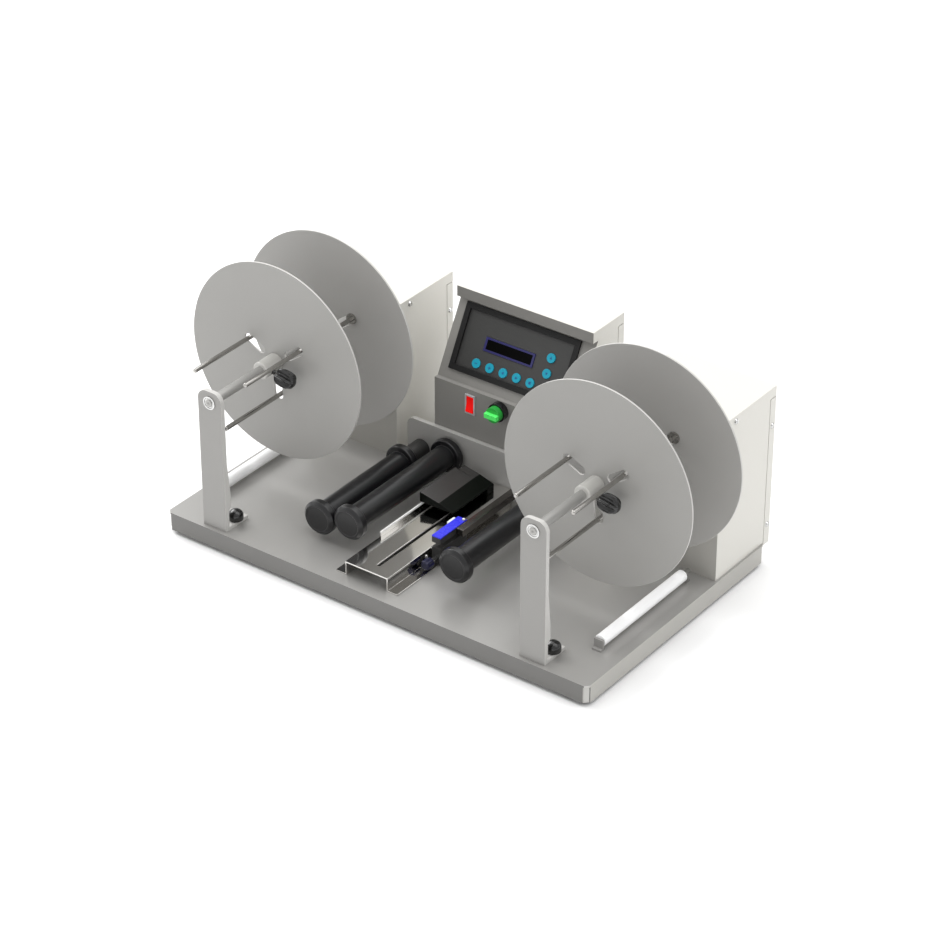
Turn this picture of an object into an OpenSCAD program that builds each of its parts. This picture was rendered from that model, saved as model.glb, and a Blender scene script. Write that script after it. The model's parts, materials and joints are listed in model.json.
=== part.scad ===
// Label counter rewinder: a braked spindle on the left pays labels out and a driven spindle
// on the right winds them up. Between them the web runs under flanged rollers and over
// a slotted guide with two sensors, in front of the console.
// Millimetres, +Z up, the operator stands at -Y. The origin is the middle of the footprint, on the floor.

/* [Tray] */
// Width of the folded base tray, left to right
tray_w = 500; // [496:1:540]
// Depth of the base tray, front to back
tray_d = 298.5; // [290:0.5:320]
// Height of the flanges turned down round the tray
tray_h = 19.4; // [14:0.2:26]
// Sheet thickness of the tray
tray_t = 2; // [1.2:0.1:3]
// Size of the sloping corner where two flanges meet
corner_gap = 5; // [2:0.5:9]
// How far the tray's middle lies right of the middle between the spindles
tray_shift = 3.8; // [0:0.2:6]
// How far the rear covers stand behind the tray
cover_depth = 10.5; // [8:0.5:16]
// How far the rubber feet stand below the flanges
foot_h = 4; // [2:0.5:10]
// Diameter of a rubber foot
foot_d = 22; // [14:1:30]
// Distance of the feet's middles from the tray's sides and back
foot_inset = 30; // [22:1:50]
// Free space between the front feet and the thumb knobs' threads
foot_clear = 2; // [1:0.5:6]

/* [Spindles] */
// Half the distance between the two spindle axes
spindle_x = 188.8; // [186:0.2:195]
// Distance of the spindle axes below the top of the housings
spindle_drop = 30.1; // [29:0.1:40]
// Diameter of the spindle shafts
shaft_d = 10; // [9:0.5:11]
// Diameter of the journal at the front end of a shaft
journal_d = 8; // [6:0.2:8.4]
// Diameter of the roll discs
disc_d = 208; // [180:1:212]
// Thickness of the roll discs
disc_t = 2; // [1.2:0.1:3]
// Front face of the movable front discs
front_disc_y = 103.4; // [96:0.2:112]
// Front face of the fixed rear discs
rear_disc_y = 185; // [178:0.5:188]
// Width of the three radial slots in each disc
slot_w = 9.4; // [7:0.2:11]
// Radius where a radial slot starts
slot_in = 15; // [14.6:0.1:18]
// Radius where a radial slot ends
slot_out = 41; // [40:0.2:48]
// Radius of the circle that the core rods stand on
rod_r = 36.3; // [32:0.1:37]
// Diameter of a core rod
rod_d = 4.2; // [3:0.1:6]
// Angle of the first core rod above the horizontal
rod_angle = 35; // [20:1:45]
// Front ends of the core rods
rod_y = 22; // [18:0.5:40]
// Diameter of the washers that clamp a rod to the rear disc
washer_d = 12; // [11.4:0.1:13]
// Diameter of the sliding collar of a front disc
hub_d = 18; // [15:0.2:20]
// Length of the collar in front of the front disc
hub_l = 23.4; // [20:0.2:28]
// Diameter of the flange behind the front disc
hub_flange_d = 26; // [22:0.5:28]
// Diameter of the boss behind the rear disc
boss_d = 28; // [20:0.5:29]
// Length of the boss behind the rear disc
boss_l = 14; // [8:0.5:18]
// Outer diameter of the bearings in the housings
bearing_d = 22; // [18:0.5:26]
// Diameter of the flange of those bearings
bearing_rim_d = 30; // [27:0.5:34]
// Thickness of the flange of those bearings
bearing_rim_t = 3; // [2:0.1:5]
// Length of those bearings behind their flange
bearing_l = 8; // [6:0.5:12]

/* [Flange knobs] */
// Diameter over the lobes of a flange knob
star_d = 21; // [18:0.5:22]
// Length of the head of a flange knob
star_l = 20; // [12:0.5:21]
// Distance of the head from the spindle axis
star_r = 16; // [14.5:0.5:18]
// Angle of a flange knob below the horizontal
star_angle = 11; // [5:1:20]
// Distance of the knob's axis in front of the front disc
star_y = 14.6; // [13.5:0.1:16]
// Diameter of the screw of a flange knob
star_stem_d = 5; // [4:0.2:6]

/* [Brackets] */
// Width of the front brackets
bracket_w = 28.6; // [24:0.2:34]
// Thickness of the upright of a bracket
bracket_t = 5; // [3:0.2:6]
// Front face of the brackets
bracket_y = 4.7; // [2:0.1:6]
// Height of a bracket above the spindle axis
bracket_rise = 12; // [10:0.5:18]
// Radius of a bracket's upper corners
bracket_corner = 10; // [6:0.5:11]
// Length of a bracket's foot, front to back
bracket_foot_l = 32.6; // [32:0.1:38]
// Thickness of a bracket's foot
bracket_foot_t = 4; // [3:0.2:6]
// Thickness of the stiffening rib on a bracket's right edge
rib_t = 3; // [2:0.2:3.4]
// Depth of the stiffening rib
rib_d = 3.6; // [2:0.2:5]
// Height where the rib starts
rib_top = 75; // [60:1:90]
// Height where the rib reaches its full depth
rib_full = 40; // [34:1:55]
// Height where the rib ends above the thumb knob
rib_foot = 25; // [22:1:32]
// Diameter of the domed thumb knobs
thumb_d = 15; // [12:0.5:15.5]
// Height of a thumb knob
thumb_h = 11.5; // [9:0.5:14]
// Sideways distance of a thumb knob from the spindle axis
thumb_x = 10; // [6:0.2:10.4]
// Distance of a thumb knob from the tray's front edge
thumb_y = 24.4; // [22:0.1:28]
// Diameter of the thread of a thumb knob
stud_d = 6; // [4:0.2:7]
// Wall of the bright bushes in the brackets
bush_wall = 2; // [1.5:0.1:3]
// Width of the rim in front of a bush
bush_rim = 1; // [0.5:0.1:2]
// Thickness of the rim in front of a bush
bush_rim_t = 1; // [0.6:0.1:1.4]

/* [Housings] */
// Width of each spindle housing
housing_w = 115.4; // [110:0.2:117]
// Front face of the housings
housing_y = 215; // [212:0.2:222]
// Height of the housings above the tray
housing_h = 170.6; // [168:0.2:190]
// Distance of a housing's outer side from the tray's side
housing_inset = 2.5; // [2.4:0.1:6]
// Sheet thickness of the housings, console and covers
sheet_t = 1.5; // [1:0.1:2]
// Height of the strip above each rear cover
roof_strip = 11; // [8:0.5:16]
// Open seam between a shell and its rear cover
seam = 0.9; // [0.5:0.1:1.4]
// How far the rear covers hang below the top of the tray
cover_drop = 3.4; // [2:0.2:8]
// Diameter of a cover screw's head
screw_head_d = 6; // [5:0.2:7]
// Height of a cover screw's head
screw_head_h = 1.6; // [1:0.1:2]
// Diameter of a cover screw's thread
screw_d = 3; // [2.5:0.1:4]
// Length of a cover screw behind its head
screw_l = 4.5; // [4:0.1:6]
// Width of the slot across a cover screw's head
screw_slot_w = 0.8; // [0.6:0.1:1.2]
// Depth of the slot across a cover screw's head
screw_slot_d = 0.6; // [0.4:0.1:0.8]
// Height of the lower cover screws above the tray
screw_low = 18.6; // [14:0.2:40]
// Height of the upper cover screws above the tray
screw_high = 128.6; // [100:0.2:140]
// Distance of the roof screws behind the front of the housings
roof_screw_y = 23.5; // [16:0.5:40]
// Distance of the roof screws below the top of the housings
roof_screw_drop = 6; // [5:0.2:10]
// Width of the air slots in the rear covers
vent_w = 50; // [30:1:80]
// Height of an air slot
vent_h = 3; // [2:0.2:4]
// Distance between two air slots
vent_pitch = 8; // [6:0.5:12]
// Distance of the highest air slot below the top of a rear cover
vent_drop = 24; // [16:1:40]

/* [Console] */
// Middle of the console, sideways
console_x = -3.2; // [-6:0.2:0]
// Width of the console
console_w = 162; // [158:1:170]
// Front face of the console below the panel
console_y = 219.6; // [218:0.2:226]
// Height of the console above the tray
console_h = 191.6; // [190:0.2:200]
// Height of the ledge under the sloping panel
ledge_z = 106; // [104:0.5:108]
// Depth of the ledge
ledge_d = 5.3; // [3:0.1:8]
// How far the panel leans back from upright, in degrees
lean = 28.3; // [24:0.1:32]
// Height of the underside of the lip over the panel
lip_z = 180; // [179:0.2:183]
// How far the lip stands out over the top of the panel
lip_over = 8; // [4:0.2:10]

/* [Panel] */
// Middle of the panel bezel, sideways
bezel_x = -6.2; // [-8:0.2:-4]
// Width of the panel bezel
bezel_w = 135.6; // [132:0.2:140]
// Height of the panel bezel along the slope
bezel_h = 68.4; // [66:0.2:70]
// Middle of the bezel above the foot of the slope
bezel_mid = 44.4; // [43:0.1:46]
// Width of the bezel's border
bezel_b = 6; // [5:0.1:7]
// How far the bezel stands out from the slope
bezel_t = 2.5; // [1.5:0.1:4]
// How far the bezel overlaps the sheet
bezel_lap = 3.5; // [2:0.1:4]
// Middle of the display, sideways
lcd_x = -13; // [-16:0.2:-8]
// Width of the display
lcd_w = 58.5; // [54:0.5:64]
// Height of the display along the slope
lcd_h = 14; // [11:0.2:15]
// Middle of the display above the foot of the slope
lcd_v = 44.6; // [43:0.2:47]
// Diameter of a key
key_d = 9.6; // [8:0.1:10]
// How far a key stands out of the panel
key_rise = 1.2; // [1:0.1:2.4]
// How far a key can be pressed in
key_travel = 1; // [0.5:0.1:1]
// Distance between two keys of the row
key_pitch = 16.1; // [15:0.1:17]
// Height of the key row above the foot of the slope
key_row_v = 23.3; // [22:0.1:24.5]
// Sideways position of the key column
key_col_x = 34.1; // [33:0.1:36]
// Height of the lower key of the column above the foot of the slope
key_col_v = 37.3; // [37:0.1:38.5]
// Distance between the two keys of the column
key_col_pitch = 15.7; // [15:0.1:17]
// How far the control board reaches past the outer keys, sideways
board_margin = 8; // [6:0.5:12]
// How far the control board reaches past the outer keys, along the slope
board_edge = 4; // [3:0.5:6]
// Diameter of the posts under the control board
board_post_d = 4; // [3:0.2:5]
// Side of the large chip on the control board
chip_w = 24; // [16:1:30]
// Height of the large chip above the control board
chip_t = 3; // [2:0.5:5]
// Width of the plug block on the control board
plug_w = 12; // [8:0.5:16]
// Length of the plug block on the control board
plug_l = 30; // [20:1:36]
// Height of the plug block above the control board
plug_t = 8; // [5:0.5:10]

/* [Switches] */
// Middle of the power rocker, sideways
rocker_x = -40.2; // [-44:0.2:-36]
// Distance of the power rocker's middle below the ledge
rocker_drop = 16.1; // [15:0.1:18]
// Width of the rocker's frame
rocker_frame_w = 11.6; // [11.2:0.1:14]
// Height of the rocker's frame
rocker_frame_h = 21.4; // [21:0.1:24]
// How far the rocker's frame stands out
rocker_frame_t = 1.8; // [1.2:0.1:2.4]
// Width of the frame's border beside the rocker
rocker_border = 1.2; // [1.1:0.1:1.6]
// Tilt of the rocker to each side of its middle, in degrees
rocker_tilt = 9; // [6:0.5:10]
// Middle of the selector, sideways
selector_x = -4.2; // [-8:0.2:2]
// Distance of the selector's middle below the ledge
selector_drop = 10.4; // [10.2:0.1:13]
// Diameter of the selector's base
selector_base_d = 19.5; // [18.5:0.1:20]
// Length of the selector's base in front of the console
selector_base_l = 7; // [3:0.1:9]
// Diameter of the selector knob
selector_d = 16.2; // [14:0.1:18.4]
// Length of the selector knob
selector_l = 10.2; // [8:0.1:12]
// Width of the body of the power inlet
inlet_w = 28; // [27:0.2:32]
// Height of the body of the power inlet
inlet_h = 20; // [19:0.2:24]
// Depth of the body of the power inlet
inlet_l = 22; // [20:0.5:26]
// Lower edge of the power inlet above the tray
inlet_z = 30; // [20:1:60]
// Width of the rim round the power inlet
inlet_rim = 3; // [2:0.2:5]

/* [Rollers] */
// Diameter of the flanges of the black rollers
flange_d = 35.5; // [33:0.1:36]
// Length of each flange
flange_l = 10; // [8:0.2:12]
// Bevel on the flanges' outer rims
flange_bevel = 3; // [1.5:0.1:3.5]
// Diameter of the rollers between their flanges
roller_d = 25; // [22:0.2:28]
// Front face of the black rollers
roller_y = 48.2; // [44:0.2:54]
// Diameter of the fixed axles inside the black rollers
axle_d = 8; // [6:0.2:9]
// First roller's axis, sideways
roller_1_x = -96.5; // [-98:0.1:-96.5]
// First roller's axis above the tray
roller_1_z = 22.6; // [22:0.1:23]
// Second roller's axis, sideways
roller_2_x = -60; // [-60.2:0.1:-59]
// Third roller's axis, sideways
roller_3_x = 65.9; // [62:0.1:68]
// Axis of the second and third rollers above the tray
roller_z = 30.6; // [30:0.1:34]
// How much shorter the first roller is than the others
roller_1_short = 25; // [20:0.2:40]
// Thickness of the plate that carries the rollers
plate_t = 5; // [4:0.2:6]
// Width of the plate that carries the rollers
plate_w = 223; // [222:0.5:240]
// Height of the plate that carries the rollers
plate_h = 52.6; // [50:0.2:58]
// Rounding of the plate's upper corners
plate_corner = 8; // [4:0.5:12]
// Diameter of the white tray rollers
tray_roller_d = 12; // [10:0.2:13]
// Height of the tray rollers' axes above the tray
tray_roller_z = 7.6; // [7.2:0.1:10]
// Sideways position of the tray rollers' axes
tray_roller_x = 226.6; // [222:0.2:232]
// Front ends of the tray rollers
tray_roller_y = 59; // [52:0.5:66]
// Length of the tray rollers
tray_roller_l = 136; // [120:0.5:142]
// Diameter of the tray rollers' axles
tray_axle_d = 5; // [4:0.2:5.4]
// Width of the stands at the ends of the tray rollers
stand_w = 10; // [8:0.2:14]
// Thickness of those stands
stand_t = 2.5; // [2:0.1:3]
// Height of those stands above the tray rollers' axes
stand_rise = 3; // [2.9:0.1:5]
// Length of the feet of those stands
stand_foot = 6; // [5:0.2:10]
// How far the axles stand out behind the rear stands
axle_out = 8; // [2:0.2:10]

/* [Guide] */
// Middle of the guide channel, sideways
channel_x = -11.2; // [-12:0.1:-11]
// Width of the guide channel
channel_w = 50.6; // [50:0.1:52]
// Height of the guide channel above the tray
channel_h = 15.2; // [13.5:0.1:15.8]
// Front end of the guide channel
channel_y = 15.5; // [10:0.5:24]
// Sheet thickness of the guide channel
channel_t = 1.5; // [1:0.1:1.6]
// Width of each foot of the guide channel
channel_foot = 11.5; // [8:0.1:12]
// Width of the slot along the channel
guide_slot_w = 4; // [3.4:0.1:6]
// Distance of the slot right of the channel's middle
guide_slot_x = 4.4; // [2:0.1:7]
// Front end of the slot along the channel
guide_slot_y = 29.5; // [24:0.5:60]
// Thickness of the fence on the channel
fence_t = 2; // [1.2:0.1:3]
// Height of the fence above the channel
fence_h = 6.5; // [4:0.1:8]
// Front end of the fence
fence_y = 68.6; // [50:0.2:80]
// Length of the fence
fence_l = 121.4; // [100:0.2:130]

/* [Sensors] */
// Front end of the sensor hood
hood_y = 134; // [128:0.5:136]
// Length of the sensor hood
hood_l = 57; // [50:0.5:58]
// Width of the sensor hood
hood_w = 40; // [36:0.2:42]
// Left side of the sensor hood, sideways
hood_x = -38; // [-39:0.1:-37]
// Gap for the web between the fence and the sensor hood
hood_gap = 0.5; // [0.4:0.1:3]
// Height of the hood's left side
hood_h = 10.8; // [9:0.2:14]
// Height of the hood's right side
hood_edge = 1.1; // [0.8:0.1:3]
// Length of the post behind the hood
post_l = 10; // [8:0.5:11]
// Width of the fork sensor
fork_w = 10.6; // [8.4:0.1:10.6]
// Left side of the fork sensor, sideways
fork_x = 17.8; // [17.4:0.1:17.8]
// Front end of the fork sensor
fork_y = 79.5; // [74:0.5:90]
// Length of the fork sensor
fork_l = 42; // [36:0.5:50]
// Top of the fork sensor above the tray, without its cap
fork_h = 31.1; // [29:0.1:36]
// Lower face of the fork sensor's slot
fork_slot_z = 20; // [18:0.1:21]
// Height of the fork sensor's slot
fork_slot_h = 5; // [4.2:0.1:6]
// Depth of the fork sensor's slot from its front
fork_slot_l = 32.5; // [20:0.5:34]
// Thickness of the fork sensor's cap
cap_t = 1.5; // [1:0.1:3]
// Diameter of the clamp knob on the fork sensor
clamp_d = 11; // [9:0.1:11]
// Length of the clamp knob's head
clamp_l = 10; // [7:0.2:12]
// Distance between the clamp knob's head and the fork sensor
clamp_neck = 7.5; // [5:0.1:9]
// Height of the clamp knob's axis above the tray
clamp_z = 8; // [7.6:0.1:10]
// Width of the bar beside the fork sensor
bar_w = 8; // [6:0.2:10]
// Height of the bar beside the fork sensor
bar_h = 7.5; // [6:0.1:9]
// Underside of the bar above the tray
bar_z = 24.5; // [20:0.1:28]
// Front end of the bar
bar_y = 104; // [96:0.5:116]

/* [Drive and brake] */
// Width of the motor's upright plate
motor_plate_w = 60; // [50:1:80]
// Side of the square gearbox
gearbox_w = 44; // [36:1:50]
// Diameter of the motor behind the gearbox
motor_d = 38; // [30:1:44]
// Diameter of the motor's output stub
motor_stub_d = 8; // [6:0.2:9]
// Diameter of the shaft coupling
coupling_d = 20; // [16:0.5:28]
// Width of the brake's upright plate
brake_plate_w = 40; // [36:1:60]
// Side of the square brake block
brake_w = 32; // [26:1:36]
// Thickness of the upright plates and their feet
drive_plate_t = 3; // [2:0.1:4]

/* [Fits] */
// Radial clearance of what turns in a bore
run_fit = 0.05; // [0.03:0.01:0.08]
// Clearance of what slides or drops into an opening
slide_fit = 0.2; // [0.15:0.01:0.25]
// Radial clearance of what is fixed in a bore
seat_fit = 0.02; // [0.01:0.01:0.04]

/* [Hidden] */
$fn = 64;
overall_d = tray_d + cover_depth;
deck_z = foot_h + tray_h;
tray_x = tray_shift - tray_w / 2;
foot_front = thumb_y + (stud_d + foot_d) / 2 + foot_clear;
left_x = tray_x + housing_inset;
right_x = tray_x + tray_w - housing_inset - housing_w;
housing_top = housing_h - roof_strip;
housing_depth = overall_d - housing_y;
spindle_z = housing_h - spindle_drop;
console_left = console_x - console_w / 2;
console_top = console_h - roof_strip;
cover_mid = tray_d + (cover_depth + seam) / 2;
slope_y = console_y + ledge_d;
rocker_z = ledge_z - rocker_drop;
selector_z = ledge_z - selector_drop;
slope_top_y = slope_y + (lip_z - ledge_z) * tan(lean);
inner_slope_y = slope_y + sheet_t / cos(lean);
lip_y = slope_top_y - lip_over;
bezel_v = bezel_mid - bezel_h / 2;
window_w = bezel_w - 2 * bezel_lap;
window_h = bezel_h - 2 * bezel_lap;
window_v = bezel_v + bezel_lap;
board_t = 1.6;
key_flange_t = 1;
board_gap = slide_fit + key_flange_t + key_travel + 1;
board_w = -sheet_t - board_gap;
board_left = lcd_x - 2 * key_pitch - key_d / 2 - board_margin;
board_right = key_col_x + key_d / 2 + board_margin;
board_low = key_row_v - key_d / 2 - board_edge;
board_high = key_col_v + key_col_pitch + key_d / 2 + board_edge;
board_mid = (board_low + board_high) / 2;
plate_y = console_y - plate_t;
plate_x = console_x - plate_w / 2;
roller_end = plate_y - 1.6;
roller_l = roller_end - roller_y;
channel_left = channel_x - channel_w / 2;
channel_right = channel_x + channel_w / 2;
guide_slot_mid = channel_x + guide_slot_x;
guide_slot_end = plate_y - 9.6;
hood_z = channel_h + fence_h + hood_gap;
hood_fold = hood_w * 0.58;
post_y = hood_y + hood_l;
post_x = channel_left + fence_t + 1;
fork_z = channel_t + 0.3;
fork_mid = fork_x + fork_w / 2;
bar_x = fork_x + fork_w + slide_fit;
clamp_x = fork_x + 4.5;
bush_d = journal_d + 2 * bush_wall;
bush_rim_d = bush_d + 2 * bush_rim;
brake_y = housing_y + housing_depth * 0.266;
brake_l = housing_depth * 0.149;
coupling_y = brake_y;
motor_y = housing_y + housing_depth * 0.51;
coupling_l = motor_y - coupling_y - drive_plate_t - 1.3;
gearbox_l = housing_depth * 0.223;
stub_l = housing_depth * 0.19;
rocker_half = rocker_frame_w / 2 - rocker_border - slide_fit;
hub_front = front_disc_y - hub_l;
knob_y = front_disc_y - star_y;
pivot_y = console_y + 1;
rocker_r = 9;
paint_grey = [0.66, 0.65, 0.62];
cream_paint = [0.86, 0.85, 0.80];
bracket_paint = [0.80, 0.79, 0.75];
black_plastic = [0.09, 0.09, 0.09];
grey_plastic = [0.68, 0.68, 0.70];
bright_steel = [0.80, 0.80, 0.80];
dull_steel = [0.55, 0.55, 0.56];
rubber_black = [0.05, 0.05, 0.05];
panel_grey = [0.19, 0.19, 0.19];
display_blue = [0.06, 0.09, 0.20];
board_green = [0.05, 0.30, 0.15];
key_cyan = [0.08, 0.58, 0.70];
rocker_red = [0.75, 0.08, 0.07];
selector_green = [0.15, 0.62, 0.20];
cap_blue = [0.10, 0.30, 0.72];
knob_navy = [0.07, 0.12, 0.28];
roller_white = [0.90, 0.90, 0.88];

// Placing helpers: inside in_frame, y runs from the tray's front edge and z from the top of the tray

module in_frame() {
    translate([0, -overall_d / 2, deck_z])
        children();
}

module rod_y_axis(x, y, z, d, l) {
    translate([x, y, z])
        rotate([-90, 0, 0])
            cylinder(d = d, h = l);
}

module upright(y, t) {
    translate([0, y + t, 0])
        rotate([90, 0, 0])
            linear_extrude(t)
                children();
}

module sidewise(x, t) {
    translate([x, 0, 0])
        rotate([90, 0, 90])
            linear_extrude(t)
                children();
}

module on_slope() {
    translate([0, slope_y, ledge_z])
        rotate([90 - lean, 0, 0])
            children();
}

module round_top(w, h, r) {
    translate([-w / 2, 0])
        square([w, h - r]);
    translate([-w / 2 + r, 0])
        square([w - 2 * r, h]);
    for (s = [-1, 1])
        translate([s * (w / 2 - r), h - r])
            circle(r = r);
}

// Base tray and feet

module deck_outline(cut) {
    polygon([
        [cut, 0], [tray_w - cut, 0], [tray_w, cut], [tray_w, tray_d - cut],
        [tray_w - cut, tray_d], [cut, tray_d], [0, tray_d - cut], [0, cut]
    ]);
}

module tray_corner() {
    near = corner_gap + tray_t * 0.1;
    far = near + tray_t * 1.2;
    polygon([[near, tray_t / 2], [far, tray_t / 2], [tray_t / 2, far], [tray_t / 2, near]]);
}

module base_tray() {
    color(paint_grey)
        in_frame()
            difference() {
                union() {
                    translate([tray_x, 0, -tray_t])
                        linear_extrude(tray_t)
                            deck_outline(corner_gap - tray_t / 2);
                    for (c = [[0, 0, 0], [1, 0, 90], [1, 1, 180], [0, 1, 270]])
                        translate([tray_x + c[0] * tray_w, c[1] * tray_d, -tray_h])
                            rotate([0, 0, c[2]])
                                linear_extrude(tray_h - tray_t / 2)
                                    tray_corner();
                    for (y = [0, tray_d - tray_t])
                        translate([tray_x + corner_gap, y, -tray_h])
                            cube([tray_w - 2 * corner_gap, tray_t, tray_h]);
                    for (x = [tray_x, tray_x + tray_w - tray_t])
                        translate([x, corner_gap, -tray_h])
                            cube([tray_t, tray_d - 2 * corner_gap, tray_h]);
                }
                for (s = [-1, 1])
                    translate([s * spindle_x + thumb_x, thumb_y, -tray_t - 1])
                        cylinder(d = stud_d + 2 * slide_fit, h = tray_t + 2);
            }
}

module rubber_feet() {
    color(rubber_black)
        in_frame()
            for (x = [tray_x + foot_inset, tray_x + tray_w - foot_inset])
                for (y = [foot_front, tray_d - foot_inset])
                    translate([x, y, -deck_z])
                        cylinder(d = foot_d, h = deck_z - tray_t);
}

// Sheet shells, their rear covers and the screws that hold them

module side_hole(x, y, z) {
    translate([x - 6, y, z])
        rotate([0, 90, 0])
            cylinder(d = screw_d + 2 * slide_fit, h = 12);
}

module cover_holes(x, w) {
    for (z = [screw_low, screw_high]) {
        side_hole(x, cover_mid, z);
        side_hole(x + w, cover_mid, z);
    }
}

module rear_tab(x, in, z) {
    tab_l = overall_d - sheet_t - 1 - tray_d;
    near = slide_fit + sheet_t;
    translate([x + in * (sheet_t / 2 + near / 2 + slide_fit / 2) - near / 2, tray_d - 14, 6])
        cube([near, 13, z - 12]);
    translate([x + in * (sheet_t * 1.5 + slide_fit) - sheet_t / 2, tray_d - 3, 6])
        cube([sheet_t, tab_l + 3, z - 12]);
}

module housing(x) {
    inside = [housing_w - 2 * sheet_t, housing_depth - 2 * sheet_t, housing_h - sheet_t + 1];
    difference() {
        union() {
            difference() {
                sidewise(x, housing_w)
                    polygon([
                        [housing_y, 0], [housing_y, housing_h], [overall_d, housing_h],
                        [overall_d, housing_top], [tray_d, housing_top], [tray_d, 0]
                    ]);
                translate([x + sheet_t, housing_y + sheet_t, -1])
                    cube(inside);
            }
            rear_tab(x, 1, housing_top);
            rear_tab(x + housing_w, -1, housing_top);
        }
        cover_holes(x, housing_w);
        for (side = [x, x + housing_w])
            side_hole(side, housing_y + roof_screw_y, housing_h - roof_screw_drop);
    }
}

module rear_cover(x, w, top) {
    h = top - seam + cover_drop;
    d = cover_depth - seam;
    difference() {
        translate([x, tray_d + seam, -cover_drop])
            cube([w, d, h]);
        translate([x + sheet_t, tray_d + seam - 1, sheet_t - cover_drop])
            cube([w - 2 * sheet_t, d + 1 - sheet_t, h - 2 * sheet_t]);
        cover_holes(x, w);
        for (i = [0 : 4])
            translate([x + (w - vent_w) / 2, overall_d - sheet_t - 1, top - vent_drop - vent_pitch * i])
                cube([vent_w, sheet_t + 2, vent_h]);
    }
}

module left_housing() {
    color(cream_paint)
        in_frame()
            difference() {
                housing(left_x);
                rod_y_axis(-spindle_x, housing_y - 1, spindle_z, bearing_d + 2 * seat_fit, sheet_t + 2);
            }
}

module right_housing() {
    color(cream_paint)
        in_frame()
            difference() {
                housing(right_x);
                rod_y_axis(spindle_x, housing_y - 1, spindle_z, bearing_d + 2 * seat_fit, sheet_t + 2);
            }
}

module left_rear_cover() {
    color(cream_paint)
        in_frame()
            rear_cover(left_x, housing_w, housing_top);
}

module right_rear_cover() {
    color(cream_paint)
        in_frame()
            rear_cover(right_x, housing_w, housing_top);
}

module console_shell() {
    neck_d = selector_base_d - 3.5 + 2 * seat_fit;
    color(cream_paint)
        in_frame()
            difference() {
                union() {
                    difference() {
                        sidewise(console_left, console_w)
                            polygon([
                                [console_y, 0], [console_y, ledge_z], [slope_y, ledge_z],
                                [slope_top_y, lip_z], [lip_y, lip_z], [lip_y, console_h],
                                [overall_d, console_h], [overall_d, console_top],
                                [tray_d, console_top], [tray_d, 0]
                            ]);
                        sidewise(console_left + sheet_t, console_w - 2 * sheet_t)
                            polygon([
                                [console_y + sheet_t, -1], [console_y + sheet_t, ledge_z - sheet_t],
                                [inner_slope_y - sheet_t * tan(lean), ledge_z - sheet_t],
                                [inner_slope_y + (lip_z + sheet_t - ledge_z) * tan(lean), lip_z + sheet_t],
                                [lip_y + sheet_t, lip_z + sheet_t], [lip_y + sheet_t, console_h - sheet_t],
                                [overall_d - sheet_t, console_h - sheet_t], [overall_d - sheet_t, -1]
                            ]);
                    }
                    rear_tab(console_left, 1, console_top);
                    rear_tab(console_left + console_w, -1, console_top);
                }
                cover_holes(console_left, console_w);
                on_slope()
                    translate([bezel_x - window_w / 2, window_v, -sheet_t - 2])
                        cube([window_w, window_h, sheet_t + 4]);
                rocker_block(slide_fit, 3, -1);
                rod_y_axis(selector_x, console_y - 1, selector_z, neck_d, sheet_t + 2);
            }
}

module console_rear_cover() {
    color(cream_paint)
        in_frame()
            difference() {
                rear_cover(console_left, console_w, console_top);
                translate([console_x - inlet_w / 2, overall_d - sheet_t - 1, inlet_z])
                    cube([inlet_w, sheet_t + 2, inlet_h]);
            }
}

module side_screw(x, dir, y, z) {
    translate([x, y, z])
        rotate([0, dir * 90, 0]) {
            difference() {
                cylinder(d1 = screw_head_d, d2 = screw_head_d * 0.7, h = screw_head_h);
                translate([-screw_head_d, -screw_slot_w / 2, screw_head_h - screw_slot_d])
                    cube([2 * screw_head_d, screw_slot_w, screw_head_h]);
            }
            translate([0, 0, -screw_l])
                cylinder(d = screw_d, h = screw_l + screw_head_h / 3);
        }
}

module shell_screws(x, w) {
    for (z = [screw_low, screw_high]) {
        side_screw(x, -1, cover_mid, z);
        side_screw(x + w, 1, cover_mid, z);
    }
}

module cover_screws() {
    color(bright_steel)
        in_frame() {
            for (x = [left_x, right_x]) {
                shell_screws(x, housing_w);
                side_screw(x, -1, housing_y + roof_screw_y, housing_h - roof_screw_drop);
                side_screw(x + housing_w, 1, housing_y + roof_screw_y, housing_h - roof_screw_drop);
            }
            shell_screws(console_left, console_w);
        }
}

// Control panel on the slope

module panel_bezel() {
    color(black_plastic)
        in_frame()
            on_slope()
                difference() {
                    translate([bezel_x - bezel_w / 2, bezel_v, 0])
                        cube([bezel_w, bezel_h, bezel_t]);
                    translate([bezel_x - bezel_w / 2 + bezel_b, bezel_v + bezel_b, -1])
                        cube([bezel_w - 2 * bezel_b, bezel_h - 2 * bezel_b, bezel_t + 2]);
                }
}

module key_spot(i) {
    if (i <= 5)
        translate([lcd_x + (i - 3) * key_pitch, key_row_v, 0])
            children();
    else
        translate([key_col_x, key_col_v + (i - 6) * key_col_pitch, 0])
            children();
}

module keypad_panel() {
    color(panel_grey)
        in_frame()
            on_slope()
                difference() {
                    translate([bezel_x - window_w / 2 + slide_fit, window_v + slide_fit, -sheet_t])
                        cube([window_w - 2 * slide_fit, window_h - 2 * slide_fit, sheet_t]);
                    translate([lcd_x - lcd_w / 2 - slide_fit, lcd_v - lcd_h / 2 - slide_fit, -sheet_t - 1])
                        cube([lcd_w + 2 * slide_fit, lcd_h + 2 * slide_fit, sheet_t + 2]);
                    for (i = [1 : 7])
                        key_spot(i)
                            translate([0, 0, -sheet_t - 1])
                                cylinder(d = key_d + 2 * slide_fit, h = sheet_t + 2);
                }
}

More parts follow.
